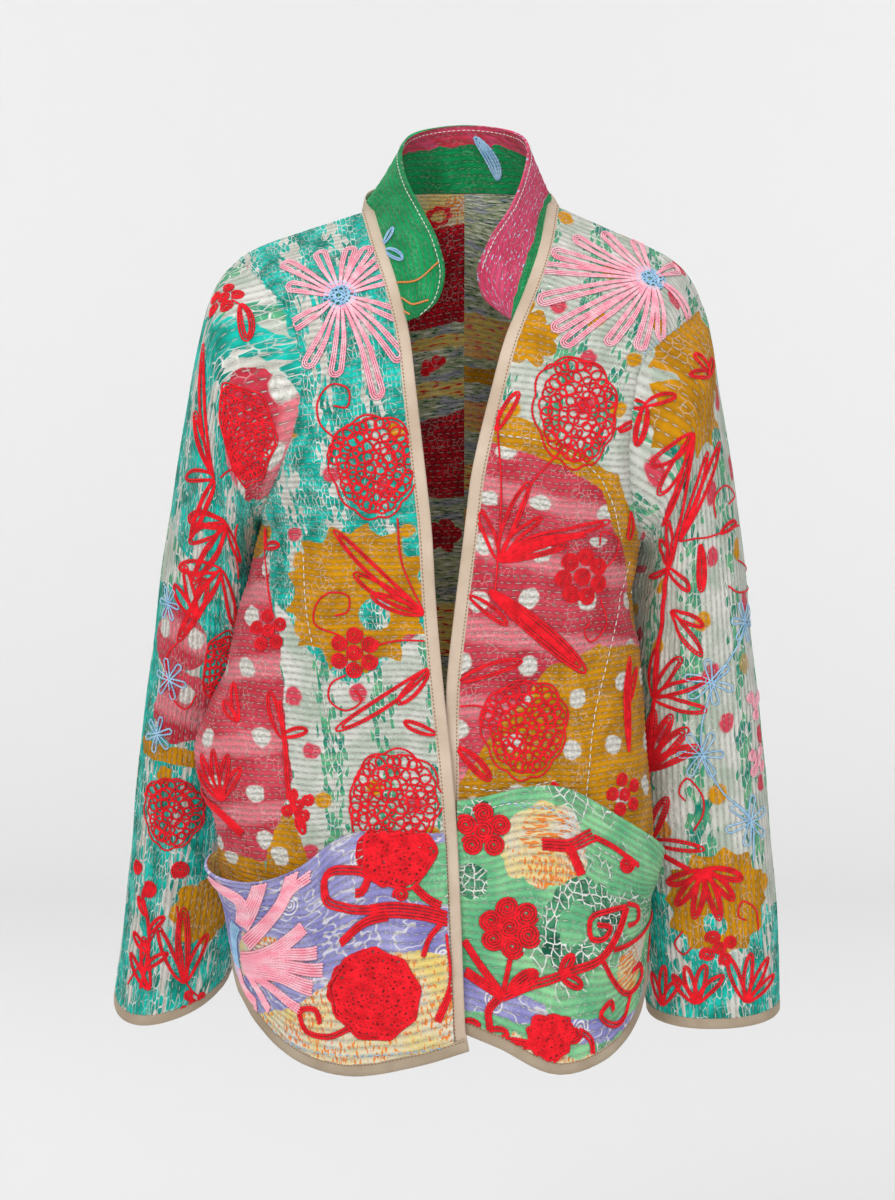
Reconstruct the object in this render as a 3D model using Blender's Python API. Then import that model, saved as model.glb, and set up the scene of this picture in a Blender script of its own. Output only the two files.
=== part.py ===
"""Open quilted patchwork jacket, filled out as worn, with nobody in it.

Metres, +Z up, +X to the wearer's left, front towards -Y. The origin lies between the two points
where the neck meets the shoulders, at the height of the shoulder line.
"""

import bpy
import numpy as np

# Cloth
WALL = 0.0022
SEAM_GAP = 0.0003
RIDGE = 0.0008
BINDING_WIDTH = 0.010
BINDING_WALL = 0.0032
CUFF_BINDING = 0.008
POCKET_GAP = 0.0011
HEM_BINDING_WALL = WALL + POCKET_GAP + WALL + 0.0004
NECK_GAP = 0.00095
COLLAR_GAP = 0.0011
VENT_BINDING = 0.0016
VENT_END = 0.25
MITRE = 1.5

# How finely each piece is divided
FRONT_COLUMNS = 8
BACK_COLUMNS = 9
NECK_COLUMNS = 4
BODY_ROWS = 22
ARMHOLE_ROWS = 16
POCKET_ROWS = 11
SLEEVE_RINGS = 16
COLLAR_ROWS = 4
FINE = 96

# Key rows of each front, from the pocket mouth up to the shoulder seam.
# edge: free edge of the front. wide: where the side is widest. side: side seam, or the armhole.
FRONT_COLUMN_NAMES = (
    "edge_x", "edge_y", "edge_z", "wide_x", "wide_y", "side_x", "side_y", "side_z", "crown", "rise"
)
FRONT_RIGHT_ROWS = {
    "pocket mouth": (-0.002, -0.119, -0.520, -0.204, -0.050, -0.194, -0.034, -0.522, 0.000, 0.000),
    "bulge": (-0.006, -0.118, -0.462, -0.222, -0.052, -0.184, -0.014, -0.461, 0.000, 0.000),
    "waist": (-0.014, -0.117, -0.385, -0.198, -0.042, -0.172, -0.010, -0.380, 0.000, 0.000),
    "ribs": (-0.020, -0.118, -0.315, -0.1785, -0.032, -0.162, -0.008, -0.315, 0.000, 0.000),
    "underarm": (-0.023, -0.116, -0.262, -0.167, -0.022, -0.161, -0.008, -0.262, 0.000, 0.000),
    "armpit": (-0.0245, -0.1145, -0.245, -0.165, -0.040, -0.165, -0.040, -0.250, 0.000, 0.000),
    "low chest": (-0.029, -0.111, -0.205, -0.151, -0.072, -0.151, -0.072, -0.217, 0.003, 0.000),
    "chest": (-0.036, -0.100, -0.145, -0.132, -0.092, -0.132, -0.092, -0.160, 0.006, 0.000),
    "high chest": (-0.0415, -0.087, -0.100, -0.131, -0.088, -0.131, -0.088, -0.118, 0.007, 0.000),
    "yoke": (-0.051, -0.069, -0.060, -0.143, -0.073, -0.143, -0.073, -0.080, 0.006, 0.002),
    "collar bone": (-0.062, -0.043, -0.027, -0.166, -0.041, -0.166, -0.041, -0.056, 0.004, 0.004),
    "shoulder": (-0.0716, 0.000, 0.003, -0.186, 0.000, -0.186, 0.000, -0.040, 0.000, 0.006),
}
FRONT_LEFT_ROWS = {
    "pocket mouth": (-0.013, -0.1105, -0.520, 0.162, -0.030, 0.152, -0.012, -0.522, 0.000, 0.000),
    "bulge": (-0.0125, -0.1108, -0.462, 0.158, -0.026, 0.147, -0.008, -0.461, 0.000, 0.000),
    "waist": (-0.0115, -0.112, -0.385, 0.151, -0.022, 0.141, -0.004, -0.380, 0.000, 0.000),
    "ribs": (-0.004, -0.117, -0.315, 0.145, -0.022, 0.138, -0.004, -0.320, 0.000, 0.000),
    "underarm": (0.0025, -0.116, -0.262, 0.149, -0.029, 0.145, -0.011, -0.280, 0.000, 0.000),
    "armpit": (0.0045, -0.1145, -0.245, 0.149, -0.046, 0.149, -0.046, -0.267, 0.000, 0.000),
    "low chest": (0.010, -0.111, -0.205, 0.1385, -0.082, 0.1385, -0.082, -0.217, 0.003, 0.000),
    "chest": (0.0245, -0.100, -0.145, 0.141, -0.087, 0.141, -0.087, -0.160, 0.006, 0.000),
    "high chest": (0.037, -0.087, -0.100, 0.149, -0.079, 0.149, -0.079, -0.124, 0.007, 0.004),
    "yoke": (0.0535, -0.069, -0.060, 0.166, -0.066, 0.166, -0.066, -0.105, 0.006, 0.014),
    "collar bone": (0.065, -0.043, -0.027, 0.187, -0.038, 0.187, -0.038, -0.090, 0.004, 0.023),
    "shoulder": (0.0725, 0.000, 0.0085, 0.2035, 0.000, 0.2035, 0.000, -0.078, 0.000, 0.030),
}

# Key rows of each back half. centre: centre-back seam. side: side seam, or the armhole.
BACK_CENTRE_X = 0.004
BACK_COLUMN_NAMES = ("centre_y", "centre_z", "side_x", "side_y", "side_z", "square", "rise")
BACK_RIGHT_ROWS = {
    "pocket mouth": (0.106, -0.520, -0.194, -0.034, -0.522, 1.8, 0.000),
    "bulge": (0.104, -0.462, -0.184, -0.014, -0.461, 1.8, 0.000),
    "waist": (0.101, -0.385, -0.172, -0.010, -0.380, 1.8, 0.000),
    "ribs": (0.102, -0.315, -0.162, -0.008, -0.315, 2.0, 0.000),
    "underarm": (0.105, -0.262, -0.161, -0.008, -0.262, 2.2, 0.000),
    "back armpit": (0.1055, -0.245, -0.162, 0.022, -0.250, 2.2, 0.000),
    "low blade": (0.106, -0.205, -0.152, 0.055, -0.217, 2.2, 0.000),
    "blade": (0.103, -0.145, -0.143, 0.072, -0.160, 2.2, 0.000),
    "high blade": (0.096, -0.100, -0.144, 0.068, -0.118, 2.2, 0.000),
    "back yoke": (0.088, -0.058, -0.152, 0.054, -0.082, 2.2, 0.002),
    "nape": (0.079, -0.020, -0.168, 0.032, -0.058, 2.2, 0.003),
}
BACK_LEFT_ROWS = {
    "pocket mouth": (0.106, -0.520, 0.152, -0.012, -0.522, 1.9, 0.000),
    "bulge": (0.104, -0.462, 0.147, -0.008, -0.461, 1.8, 0.000),
    "waist": (0.101, -0.385, 0.141, -0.004, -0.380, 1.8, 0.000),
    "ribs": (0.102, -0.315, 0.138, -0.004, -0.320, 1.9, 0.000),
    "underarm": (0.105, -0.262, 0.145, -0.011, -0.280, 2.2, 0.000),
    "back armpit": (0.1055, -0.245, 0.148, 0.020, -0.267, 2.2, 0.000),
    "low blade": (0.106, -0.205, 0.144, 0.055, -0.222, 2.2, 0.000),
    "blade": (0.103, -0.145, 0.146, 0.070, -0.166, 2.2, 0.002),
    "high blade": (0.096, -0.100, 0.152, 0.066, -0.130, 2.2, 0.005),
    "back yoke": (0.088, -0.058, 0.168, 0.052, -0.107, 2.2, 0.012),
    "nape": (0.079, -0.020, 0.188, 0.030, -0.090, 2.2, 0.020),
}

# Cut hem of each piece, a binding's width inside the finished edge: x, y, z.
HEM_FRONT_RIGHT = {
    "front corner": (0.0045, -0.1215, -0.680),
    "front": (-0.040, -0.1195, -0.6935),
    "lowest": (-0.098, -0.105, -0.7035),
    "round starts": (-0.133, -0.090, -0.695),
    "round": (-0.166, -0.070, -0.668),
    "round ends": (-0.184, -0.056, -0.636),
    "vent": (-0.191, -0.046, -0.602),
    "vent top": (-0.195, -0.038, -0.573),
}
HEM_FRONT_LEFT = {
    "front corner": (-0.0115, -0.1108, -0.660),
    "front": (0.035, -0.1115, -0.6795),
    "lowest": (0.085, -0.105, -0.7030),
    "round starts": (0.112, -0.093, -0.697),
    "round": (0.138, -0.067, -0.678),
    "round ends": (0.151, -0.045, -0.651),
    "vent": (0.155, -0.026, -0.607),
    "vent top": (0.153, -0.014, -0.573),
}
HEM_BACK_RIGHT = {
    "centre": (BACK_CENTRE_X, 0.108, -0.702),
    "middle": (-0.070, 0.100, -0.702),
    "round starts": (-0.118, 0.076, -0.698),
    "round": (-0.155, 0.038, -0.676),
    "round ends": (-0.177, 0.002, -0.638),
    "vent": (-0.186, -0.020, -0.602),
    "vent top": (-0.195, -0.038, -0.573),
}
HEM_BACK_LEFT = {
    "centre": (BACK_CENTRE_X, 0.108, -0.702),
    "middle": (0.070, 0.098, -0.702),
    "round starts": (0.110, 0.075, -0.698),
    "round": (0.138, 0.045, -0.676),
    "round ends": (0.151, 0.018, -0.638),
    "vent": (0.152, 0.001, -0.602),
    "vent top": (0.153, -0.014, -0.573),
}

# Cut neck of the back, from the centre-back seam towards the shoulder: share of the way across, y, z.
BACK_NECK = {"centre": (0.0, 0.072, 0.0165), "round": (0.62, 0.058, 0.0150), "side": (0.93, 0.026, 0.0085)}

# Rings of each sleeve after the armhole. outer and inner: the far and near side of the arm.
SLEEVE_COLUMN_NAMES = (
    "outer_x", "outer_y", "outer_z", "inner_x", "inner_y", "inner_z", "half_depth", "front_drop"
)
SLEEVE_RIGHT_RINGS = {
    "cap": (-0.2057, 0.000, -0.0643, -0.1710, -0.005, -0.259, 0.080, 0.000),
    "upper cap": (-0.2195, 0.000, -0.1114, -0.1755, 0.001, -0.267, 0.072, 0.000),
    "lower cap": (-0.2318, 0.002, -0.1773, -0.1770, 0.010, -0.281, 0.064, 0.000),
    "upper arm": (-0.2415, 0.006, -0.2307, -0.1755, 0.020, -0.302, 0.059, 0.000),
    "mid arm": (-0.2503, 0.012, -0.281, -0.1720, 0.031, -0.335, 0.056, 0.000),
    "above elbow": (-0.2606, 0.020, -0.368, -0.1700, 0.048, -0.392, 0.053, 0.004),
    "elbow": (-0.2729, 0.030, -0.448, -0.1735, 0.072, -0.462, 0.050, 0.008),
    "below elbow": (-0.2817, 0.038, -0.536, -0.1800, 0.085, -0.536, 0.047, 0.014),
    "forearm": (-0.2920, 0.042, -0.617, -0.1895, 0.082, -0.604, 0.045, 0.022),
    "cuff": (-0.2985, 0.042, -0.671, -0.1985, 0.075, -0.645, 0.044, 0.028),
}
SLEEVE_LEFT_RINGS = {
    "cap": (0.2109, 0.000, -0.1068, 0.1555, -0.008, -0.276, 0.074, 0.000),
    "upper cap": (0.2170, 0.000, -0.1450, 0.1595, 0.000, -0.284, 0.069, 0.000),
    "lower cap": (0.2250, 0.000, -0.1930, 0.1595, 0.009, -0.298, 0.063, 0.000),
    "upper arm": (0.2330, 0.002, -0.2450, 0.1560, 0.018, -0.316, 0.058, 0.000),
    "mid arm": (0.2410, 0.006, -0.305, 0.1510, 0.026, -0.346, 0.053, 0.000),
    "above elbow": (0.2500, 0.012, -0.378, 0.1470, 0.034, -0.402, 0.049, 0.000),
    "elbow": (0.2595, 0.020, -0.459, 0.1480, 0.040, -0.470, 0.046, 0.002),
    "below elbow": (0.2690, 0.030, -0.553, 0.1500, 0.043, -0.550, 0.044, 0.005),
    "forearm": (0.2744, 0.034, -0.627, 0.1560, 0.042, -0.624, 0.042, 0.008),
    "cuff": (0.2765, 0.035, -0.677, 0.1630, 0.037, -0.679, 0.041, 0.011),
}
ARM_SQUARE = 2.2
FRONT_SQUARE = 2.3

# Free edge of the collar, from the right front end round the back to the left: x, y, z.
COLLAR_EDGE = {
    "right end": (-0.0350, -0.0865, -0.0845),
    "right round": (-0.0205, -0.0920, -0.0730),
    "right bottom": (-0.0132, -0.0925, -0.0520),
    "right lower": (-0.0190, -0.0840, -0.0220),
    "right mid": (-0.0310, -0.0680, 0.0020),
    "right upper": (-0.0430, -0.0470, 0.0240),
    "right neck": (-0.0492, -0.0120, 0.0520),
    "right nape": (-0.0360, 0.0320, 0.0680),
    "nape": (0.0045, 0.0560, 0.0745),
    "left nape": (0.0430, 0.0320, 0.0690),
    "left neck": (0.0565, -0.0120, 0.0550),
    "left upper": (0.0530, -0.0400, 0.0330),
    "left mid": (0.0420, -0.0640, 0.0060),
    "left lower": (0.0230, -0.0830, -0.0230),
    "left bottom": (0.0140, -0.0925, -0.0500),
    "left round": (0.0195, -0.0920, -0.0690),
    "left end": (0.0350, -0.0865, -0.0830),
}
COLLAR_START_Z = -0.089

# Mouth of each pocket, across the front from the binding to the side: share, height, how far it gapes.
POCKET_MOUTH_RIGHT = {
    "binding": (0.00, -0.507, 0.0020),
    "flat": (0.36, -0.512, 0.0050),
    "fold": (0.52, -0.537, 0.0110),
    "sag": (0.66, -0.548, 0.0150),
    "side": (0.86, -0.545, 0.0120),
    "corner": (1.00, -0.533, 0.0020),
}
POCKET_MOUTH_LEFT = {
    "binding": (0.00, -0.481, 0.0020),
    "flat": (0.42, -0.474, 0.0040),
    "slant": (0.62, -0.502, 0.0080),
    "low": (0.80, -0.528, 0.0090),
    "corner": (1.00, -0.550, 0.0020),
}

COLOURS = {
    "front_right": (0.55, 0.62, 0.52),
    "front_left": (0.62, 0.33, 0.25),
    "back_right": (0.50, 0.58, 0.50),
    "back_left": (0.58, 0.54, 0.48),
    "sleeve_right": (0.22, 0.48, 0.40),
    "sleeve_left": (0.60, 0.56, 0.42),
    "collar": (0.03, 0.38, 0.13),
    "pocket_right": (0.45, 0.42, 0.60),
    "pocket_left": (0.55, 0.62, 0.36),
    "binding": (0.66, 0.53, 0.38),
}
CLOTH_ROUGHNESS = 0.9


def lengths_along(points):
    """Distance of each point from the first, along the line through them."""
    steps = np.linalg.norm(np.diff(points, axis=0), axis=1)
    return np.concatenate(([0.0], np.cumsum(steps)))


def smooth(knots, values, at):
    """Values at the places in at, on a smooth curve through (knots, values)."""
    knots = np.asarray(knots, float)
    values = np.asarray(values, float)
    step = np.diff(knots)
    slope = np.diff(values, axis=0) / step.reshape((-1,) + (1,) * (values.ndim - 1))
    tangent = np.empty_like(values)
    tangent[0] = slope[0]
    tangent[-1] = slope[-1]
    share = (step[:-1] / (step[:-1] + step[1:])).reshape((-1,) + (1,) * (values.ndim - 1))
    tangent[1:-1] = slope[:-1] * (1 - share) + slope[1:] * share
    at = np.clip(np.asarray(at, float), knots[0], knots[-1])
    i = np.clip(np.searchsorted(knots, at, side="right") - 1, 0, len(step) - 1)
    shape = (-1,) + (1,) * (values.ndim - 1)
    h = step[i].reshape(shape)
    t = ((at - knots[i]) / step[i]).reshape(shape)
    return (
        values[i] * (2 * t**3 - 3 * t**2 + 1)
        + tangent[i] * h * (t**3 - 2 * t**2 + t)
        + values[i + 1] * (3 * t**2 - 2 * t**3)
        + tangent[i + 1] * h * (t**3 - t**2)
    )


def through(stations):
    """Fine smooth line through a table's x, y, z stations."""
    points = np.array(list(stations.values()), float)
    knots = lengths_along(points)
    return smooth(knots, points, np.linspace(0, knots[-1], FINE))


def evenly(points, count, start=0.0):
    """Points at even steps along a line, the first one a given length from its start."""
    run = lengths_along(points)
    at = np.linspace(start, run[-1], count + 1)
    return np.stack([np.interp(at, run, points[:, k]) for k in range(3)], axis=1)


def rounded(start, end, square):
    """Quarter of a rounded plan shape from the middle of a side (start) to its flank (end)."""
    turn = np.linspace(0, np.pi / 2, FINE)
    across = np.sin(turn) ** (2 / square)
    along = np.cos(turn) ** (2 / square)
    plan = np.stack(
        [start[0] + (end[0] - start[0]) * across, end[1] + (start[1] - end[1]) * along], axis=1
    )
    share = lengths_along(plan)
    height = start[2] + (end[2] - start[2]) * share / share[-1]
    return np.column_stack([plan, height])


def lifted(line, share, rise):
    """A row pushed up between its ends, most of it near the shoulder point."""
    line[:, 2] += rise * share * (1 - share**10)
    return line


def front_row(values):
    """One key row of a front: flat across the chest, then rounding away to the side."""
    row = dict(zip(FRONT_COLUMN_NAMES, values))
    edge = (row["edge_x"], row["edge_y"], 0.0)
    wide = (row["wide_x"], row["wide_y"], 0.0)
    line = rounded(edge, wide, FRONT_SQUARE)
    if row["side_y"] > row["wide_y"] + WALL:
        turn = np.linspace(0, np.pi / 2, FINE // 3)[1:]
        behind = np.column_stack(
            [
                row["side_x"] + (row["wide_x"] - row["side_x"]) * np.cos(turn),
                row["wide_y"] + (row["side_y"] - row["wide_y"]) * np.sin(turn),
                np.zeros(len(turn)),
            ]
        )
        line = np.vstack([line, behind])
    share = lengths_along(line)
    share = share / share[-1]
    line[:, 2] = row["edge_z"] + (row["side_z"] - row["edge_z"]) * share
    line[:, 1] -= row["crown"] * np.sin(np.pi * share)
    return lifted(line, share, row["rise"])


def back_row(values):
    """One key row of a back half, from the centre seam round to the side."""
    row = dict(zip(BACK_COLUMN_NAMES, values))
    centre = (BACK_CENTRE_X, row["centre_y"], row["centre_z"])
    side = (row["side_x"], row["side_y"], row["side_z"])
    line = rounded(centre, side, row["square"])
    share = lengths_along(line)
    return lifted(line, share / share[-1], row["rise"])


def loft(rows, underarm):
    """Grid through key rows. The armhole part, from row number underarm up, gets its own even rows."""
    rows = np.array(rows)
    side = lengths_along(rows[:, -1])
    middle = lengths_along(rows[:, rows.shape[1] // 2])
    knots = side / side[-1] + middle / middle[-1]
    lower = np.linspace(knots[0], knots[underarm], BODY_ROWS + 1)
    fine = np.linspace(knots[underarm], knots[-1], FINE)
    run = lengths_along(smooth(knots, rows[:, -1], fine))
    upper = np.interp(np.linspace(0, run[-1], ARMHOLE_ROWS + 1), run, fine)
    return smooth(knots, rows, np.concatenate([lower, upper[1:]]))


def unit(vectors):
    return vectors / np.linalg.norm(vectors, axis=-1, keepdims=True)


def normals_of(grid, closed=False):
    """Unit normals of a grid, from the faces round each point, facing away from the body."""
    rows, columns = grid.shape[:2]
    following = np.roll(grid, -1, axis=1) if closed else grid[:, 1:]
    here = grid if closed else grid[:, :-1]
    faces = np.cross(following[1:] - here[:-1], here[1:] - following[:-1])
    total = np.zeros_like(grid)
    for down in (0, 1):
        for along in (0, 1):
            target = (np.arange(faces.shape[1]) + along) % columns
            total[down : down + rows - 1, target] += faces
    total = unit(total)
    middle = grid.mean(axis=1, keepdims=True) if closed else grid * np.array([0.0, 0.0, 1.0])
    facing = np.einsum("rck,rck->", total, grid - middle)
    return total if facing > 0 else -total


def drawn_in(grid, gap, sides):
    """The grid with the named sides moved in by a gap, along the cloth."""
    moved = grid.copy()
    if "start" in sides:
        moved[:, 0] += gap * unit(grid[:, 1] - grid[:, 0])
    if "side" in sides:
        moved[:, -1] += gap * unit(grid[:, -2] - grid[:, -1])
    if "bottom" in sides:
        moved[0] += gap * unit(grid[1] - grid[0])
    if "top" in sides:
        moved[-1] += gap * unit(grid[-2] - grid[-1])
    return moved


def beyond(line, next_line, normals, distance):
    """A line moved off the edge of a grid, along the cloth and square to the edge."""
    along = unit(np.gradient(line, axis=0))
    away = unit(np.cross(along, normals))
    facing = np.sign(np.einsum("ij,ij->", away, next_line - line))
    return line - away * facing * distance


def add_object(name, vertices, faces, colour):
    """A smooth-shaded object with its own cloth material."""
    mesh = bpy.data.meshes.new(name)
    mesh.from_pydata([tuple(v) for v in vertices], [], faces)
    mesh.shade_smooth()
    mesh.set_sharp_from_angle(angle=np.radians(50))
    made = bpy.data.objects.new(name, mesh)
    bpy.context.collection.objects.link(made)
    material = bpy.data.materials.new(name)
    material.use_nodes = True
    shader = material.node_tree.nodes["Principled BSDF"]
    shader.inputs["Base Color"].default_value = (*COLOURS[colour], 1.0)
    shader.inputs["Roughness"].default_value = CLOTH_ROUGHNESS
    shader.inputs["Metallic"].default_value = 0.0
    mesh.materials.append(material)


def triangles_of(vertices, quads):
    """Each four-cornered face as two triangles, cut along its shorter diagonal."""
    triangles = []
    for a, b, c, d in quads:
        if np.sum((vertices[a] - vertices[c]) ** 2) <= np.sum((vertices[b] - vertices[d]) ** 2):
            triangles += [(a, b, c), (a, c, d)]
        else:
            triangles += [(a, b, d), (b, c, d)]
    return triangles


def wall(name, grid, normals, colour, closed=False, thick=WALL, relief=0.0):
    """A cloth wall: the grid moved out and in by half its thickness, joined round its edges.

    relief raises the outer points only. A closed wall goes all the way round, as a tube.
    """
    rows, columns = grid.shape[:2]
    raised = thick / 2 + np.zeros((rows, columns)) + relief
    outer = grid + normals * raised[..., None]
    inner = grid - normals * (thick / 2)
    vertices = np.vstack([outer.reshape(-1, 3), inner.reshape(-1, 3)])
    count = rows * columns
    quads = []
    for r in range(rows - 1):
        for c in range(columns if closed else columns - 1):
            here = r * columns
            following = (c + 1) % columns
            quads.append((here + c, here + following, here + columns + following, here + columns + c))
    faces = triangles_of(vertices, quads)
    faces += [(c + count, b + count, a + count) for a, b, c in faces]
    bottom = list(range(columns))
    top = [(rows - 1) * columns + c for c in reversed(range(columns))]
    if closed:
        rims = [bottom + bottom[:1], top + top[:1]]
    else:
        up = [r * columns + columns - 1 for r in range(1, rows - 1)]
        down = [r * columns for r in reversed(range(rows - 1))]
        rims = [bottom + up + top + down]
    for rim in rims:
        for a, b in zip(rim[:-1], rim[1:]):
            faces += [(b, a, a + count), (b, a + count, b + count)]
    corners = vertices[np.array(faces)]
    if np.einsum("ij,ij->", corners[:, 0], np.cross(corners[:, 1], corners[:, 2])) < 0:
        faces = [face[::-1] for face in faces]
    add_object(name, vertices, faces, colour)


def strip(name, inside, outside, normals, thick=BINDING_WALL, lift=0.0, closed=False):
    """A bias binding: a thick narrow wall between two lines."""
    grid = np.stack([inside, outside]) + normals * lift
    wall(name, grid, np.stack([normals, normals]), "binding", closed=closed, thick=thick)


def ridges_across(rows, columns, first_row):
    """Quilting that runs across a piece: every second row raised from first_row up, edges plain."""
    raised = np.zeros((rows, columns))
    raised[first_row : rows - 1 : 2, 1:-1] = RIDGE
    return raised


def ridges_along(rows, columns):
    """Quilting that runs down a sleeve: every second line raised, ends plain."""
    raised = np.zeros((rows, columns))
    raised[2:-1, 1::2] = RIDGE
    return raised


def front_grids(table, hem):
    """A front's cloth, and the two lines of the binding that runs up its free edge."""
    keys = [through(hem)] + [front_row(values) for values in table.values()]
    underarm = 1 + list(table).index("underarm")
    rows = loft([evenly(row, FINE) for row in keys], underarm)
    cloth = np.array([evenly(row, FRONT_COLUMNS, BINDING_WIDTH + SEAM_GAP) for row in rows])
    band = np.array([evenly(row, 1, BINDING_WIDTH)[0] for row in rows])
    return cloth, rows[:, 0], band


def back_grid(table, hem, shoulder):
    """A back half. Its top row follows the neck and then the front's shoulder seam."""
    keys = [through(hem)] + [back_row(values) for values in table.values()]
    keys = [evenly(row, BACK_COLUMNS) for row in keys]
    neck_end = shoulder[0]
    stations = {
        name: (BACK_CENTRE_X + (neck_end[0] - BACK_CENTRE_X) * share, y, z)
        for name, (share, y, z) in BACK_NECK.items()
    }
    stations["shoulder"] = neck_end
    neck = evenly(through(stations), NECK_COLUMNS)
    seam = evenly(shoulder, BACK_COLUMNS - NECK_COLUMNS)
    keys.append(np.vstack([neck[:-1], seam]))
    return loft(keys, 1 + list(table).index("underarm"))


def sleeve_grid(table, armhole):
    """Rings from the armhole down the arm. Each starts under the arm and goes round by the front."""
    turn = np.linspace(0, 2 * np.pi, len(armhole), endpoint=False)
    across = -np.sign(np.cos(turn)) * np.abs(np.cos(turn)) ** (2 / ARM_SQUARE)
    forward = np.sign(np.sin(turn)) * np.abs(np.sin(turn)) ** (2 / ARM_SQUARE)
    keys = [armhole]
    for values in table.values():
        ring = dict(zip(SLEEVE_COLUMN_NAMES, values))
        outer = np.array([ring["outer_x"], ring["outer_y"], ring["outer_z"]])
        inner = np.array([ring["inner_x"], ring["inner_y"], ring["inner_z"]])
        front = np.array([0.0, -ring["half_depth"], -ring["front_drop"]])
        middle = (outer + inner) / 2
        keys.append(middle + across[:, None] * (outer - inner) / 2 + forward[:, None] * front)
    keys = np.array(keys)
    spread = np.linalg.norm(np.diff(keys, axis=0), axis=2).mean(axis=1)
    knots = np.concatenate(([0.0], np.cumsum(spread)))
    return smooth(knots, keys, np.linspace(0, knots[-1], SLEEVE_RINGS + 1))


def resampled(values, places, at):
    """Vectors known at some places of a line, read at others."""
    return np.stack([np.interp(at, places, values[:, k]) for k in range(3)], axis=1)


def share_normals(side):
    """Pieces that meet at a seam get the same normals along it, so that their edges face each other."""
    front, back, sleeve = side["front_normals"], side["back_normals"], side["sleeve_normals"]
    below = slice(0, BODY_ROWS + 1)
    shared = unit(front[below, -1] + back[below, -1])
    front[below, -1] = back[below, -1] = shared

    front_places = np.linspace(0, 1, FRONT_COLUMNS + 1)
    back_places = np.linspace(0, 1, BACK_COLUMNS - NECK_COLUMNS + 1)
    shared = unit(resampled(front[-1], front_places, back_places) + back[-1, NECK_COLUMNS:])
    back[-1, NECK_COLUMNS:] = shared
    front[-1] = unit(resampled(shared, back_places, front_places))

    body = np.vstack([front[BODY_ROWS:, -1], back[BODY_ROWS + 1 : -1, -1][::-1]])
    shared = unit(sleeve[0] + body)
    sleeve[0] = shared
    front[BODY_ROWS:, -1] = shared[: ARMHOLE_ROWS + 1]
    back[BODY_ROWS:-1, -1] = np.vstack([shared[:1], shared[ARMHOLE_ROWS + 1 :][::-1]])
    back[-1, -1] = shared[ARMHOLE_ROWS]


def side_grids(front_table, front_hem, back_table, back_hem, rings):
    """The cloth of one side of the jacket, as grids with their normals."""
    cloth, edge, band = front_grids(front_table, front_hem)
    back = back_grid(back_table, back_hem, cloth[-1])
    back[: BODY_ROWS + 1, -1] = cloth[: BODY_ROWS + 1, -1]
    armhole = np.vstack([cloth[BODY_ROWS:, -1], back[BODY_ROWS + 1 : -1, -1][::-1]])
    sleeve = sleeve_grid(rings, armhole)
    side = {
        "cloth": cloth,
        "edge": edge,
        "band": band,
        "back": back,
        "sleeve": sleeve,
        "front_normals": normals_of(cloth),
        "back_normals": normals_of(back),
        "sleeve_normals": normals_of(sleeve, closed=True),
    }
    share_normals(side)
    return side


def pocket_grid(cloth, normals, mouth):
    """The patch pocket: the front's own points below the mouth, moved out, and gaping at the mouth."""
    stations = np.array(list(mouth.values()))
    share = np.linspace(0, 1, FRONT_COLUMNS + 1)
    height = smooth(stations[:, 0], stations[:, 1], share)
    gape = smooth(stations[:, 0], stations[:, 2], share)
    opening = np.linspace(0, 1, POCKET_ROWS + 1) ** 3
    rows = np.arange(BODY_ROWS)
    columns = []
    for c in range(FRONT_COLUMNS + 1):
        line = cloth[:BODY_ROWS, c]
        top = np.interp(height[c], line[:, 2], rows)
        at = np.linspace(0, top, POCKET_ROWS + 1)
        out = unit(resampled(normals[:BODY_ROWS, c], rows, at))
        lift = WALL + POCKET_GAP + gape[c] * opening
        columns.append(resampled(line, rows, at) + out * lift[:, None])
    return np.array(columns).transpose(1, 0, 2)


def build_cloth(name, side, mouth):
    """The front, back half, sleeve and pocket of one side."""
    half = SEAM_GAP / 2
    rows = BODY_ROWS + ARMHOLE_ROWS + 1
    wall(
        "front_" + name, drawn_in(side["cloth"], half, ("side", "top")), side["front_normals"],
        "front_" + name, relief=ridges_across(rows, FRONT_COLUMNS + 1, POCKET_ROWS),
    )
    wall(
        "back_" + name, drawn_in(side["back"], half, ("start", "side", "top")), side["back_normals"],
        "back_" + name, relief=ridges_across(rows, BACK_COLUMNS + 1, 1),
    )
    wall(
        "sleeve_" + name, drawn_in(side["sleeve"], SEAM_GAP, ("bottom",)), side["sleeve_normals"],
        "sleeve_" + name, closed=True, relief=ridges_along(SLEEVE_RINGS + 1, 2 * ARMHOLE_ROWS),
    )
    pocket = pocket_grid(side["cloth"], side["front_normals"], mouth)
    wall(
        "pocket_" + name, drawn_in(pocket, half, ("side",)), normals_of(pocket), "pocket_" + name,
        relief=ridges_across(POCKET_ROWS + 1, FRONT_COLUMNS + 1, 1),
    )


def tapered(inside, outside):
    """A vent's binding, ended just below the top of the vent and narrowed there."""
    inside[-1] = inside[-1] + (inside[-2] - inside[-1]) * VENT_END
    outside[-1] = inside[-1] + unit(outside[-1] - inside[-1]) * VENT_BINDING
    return inside, outside


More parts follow.
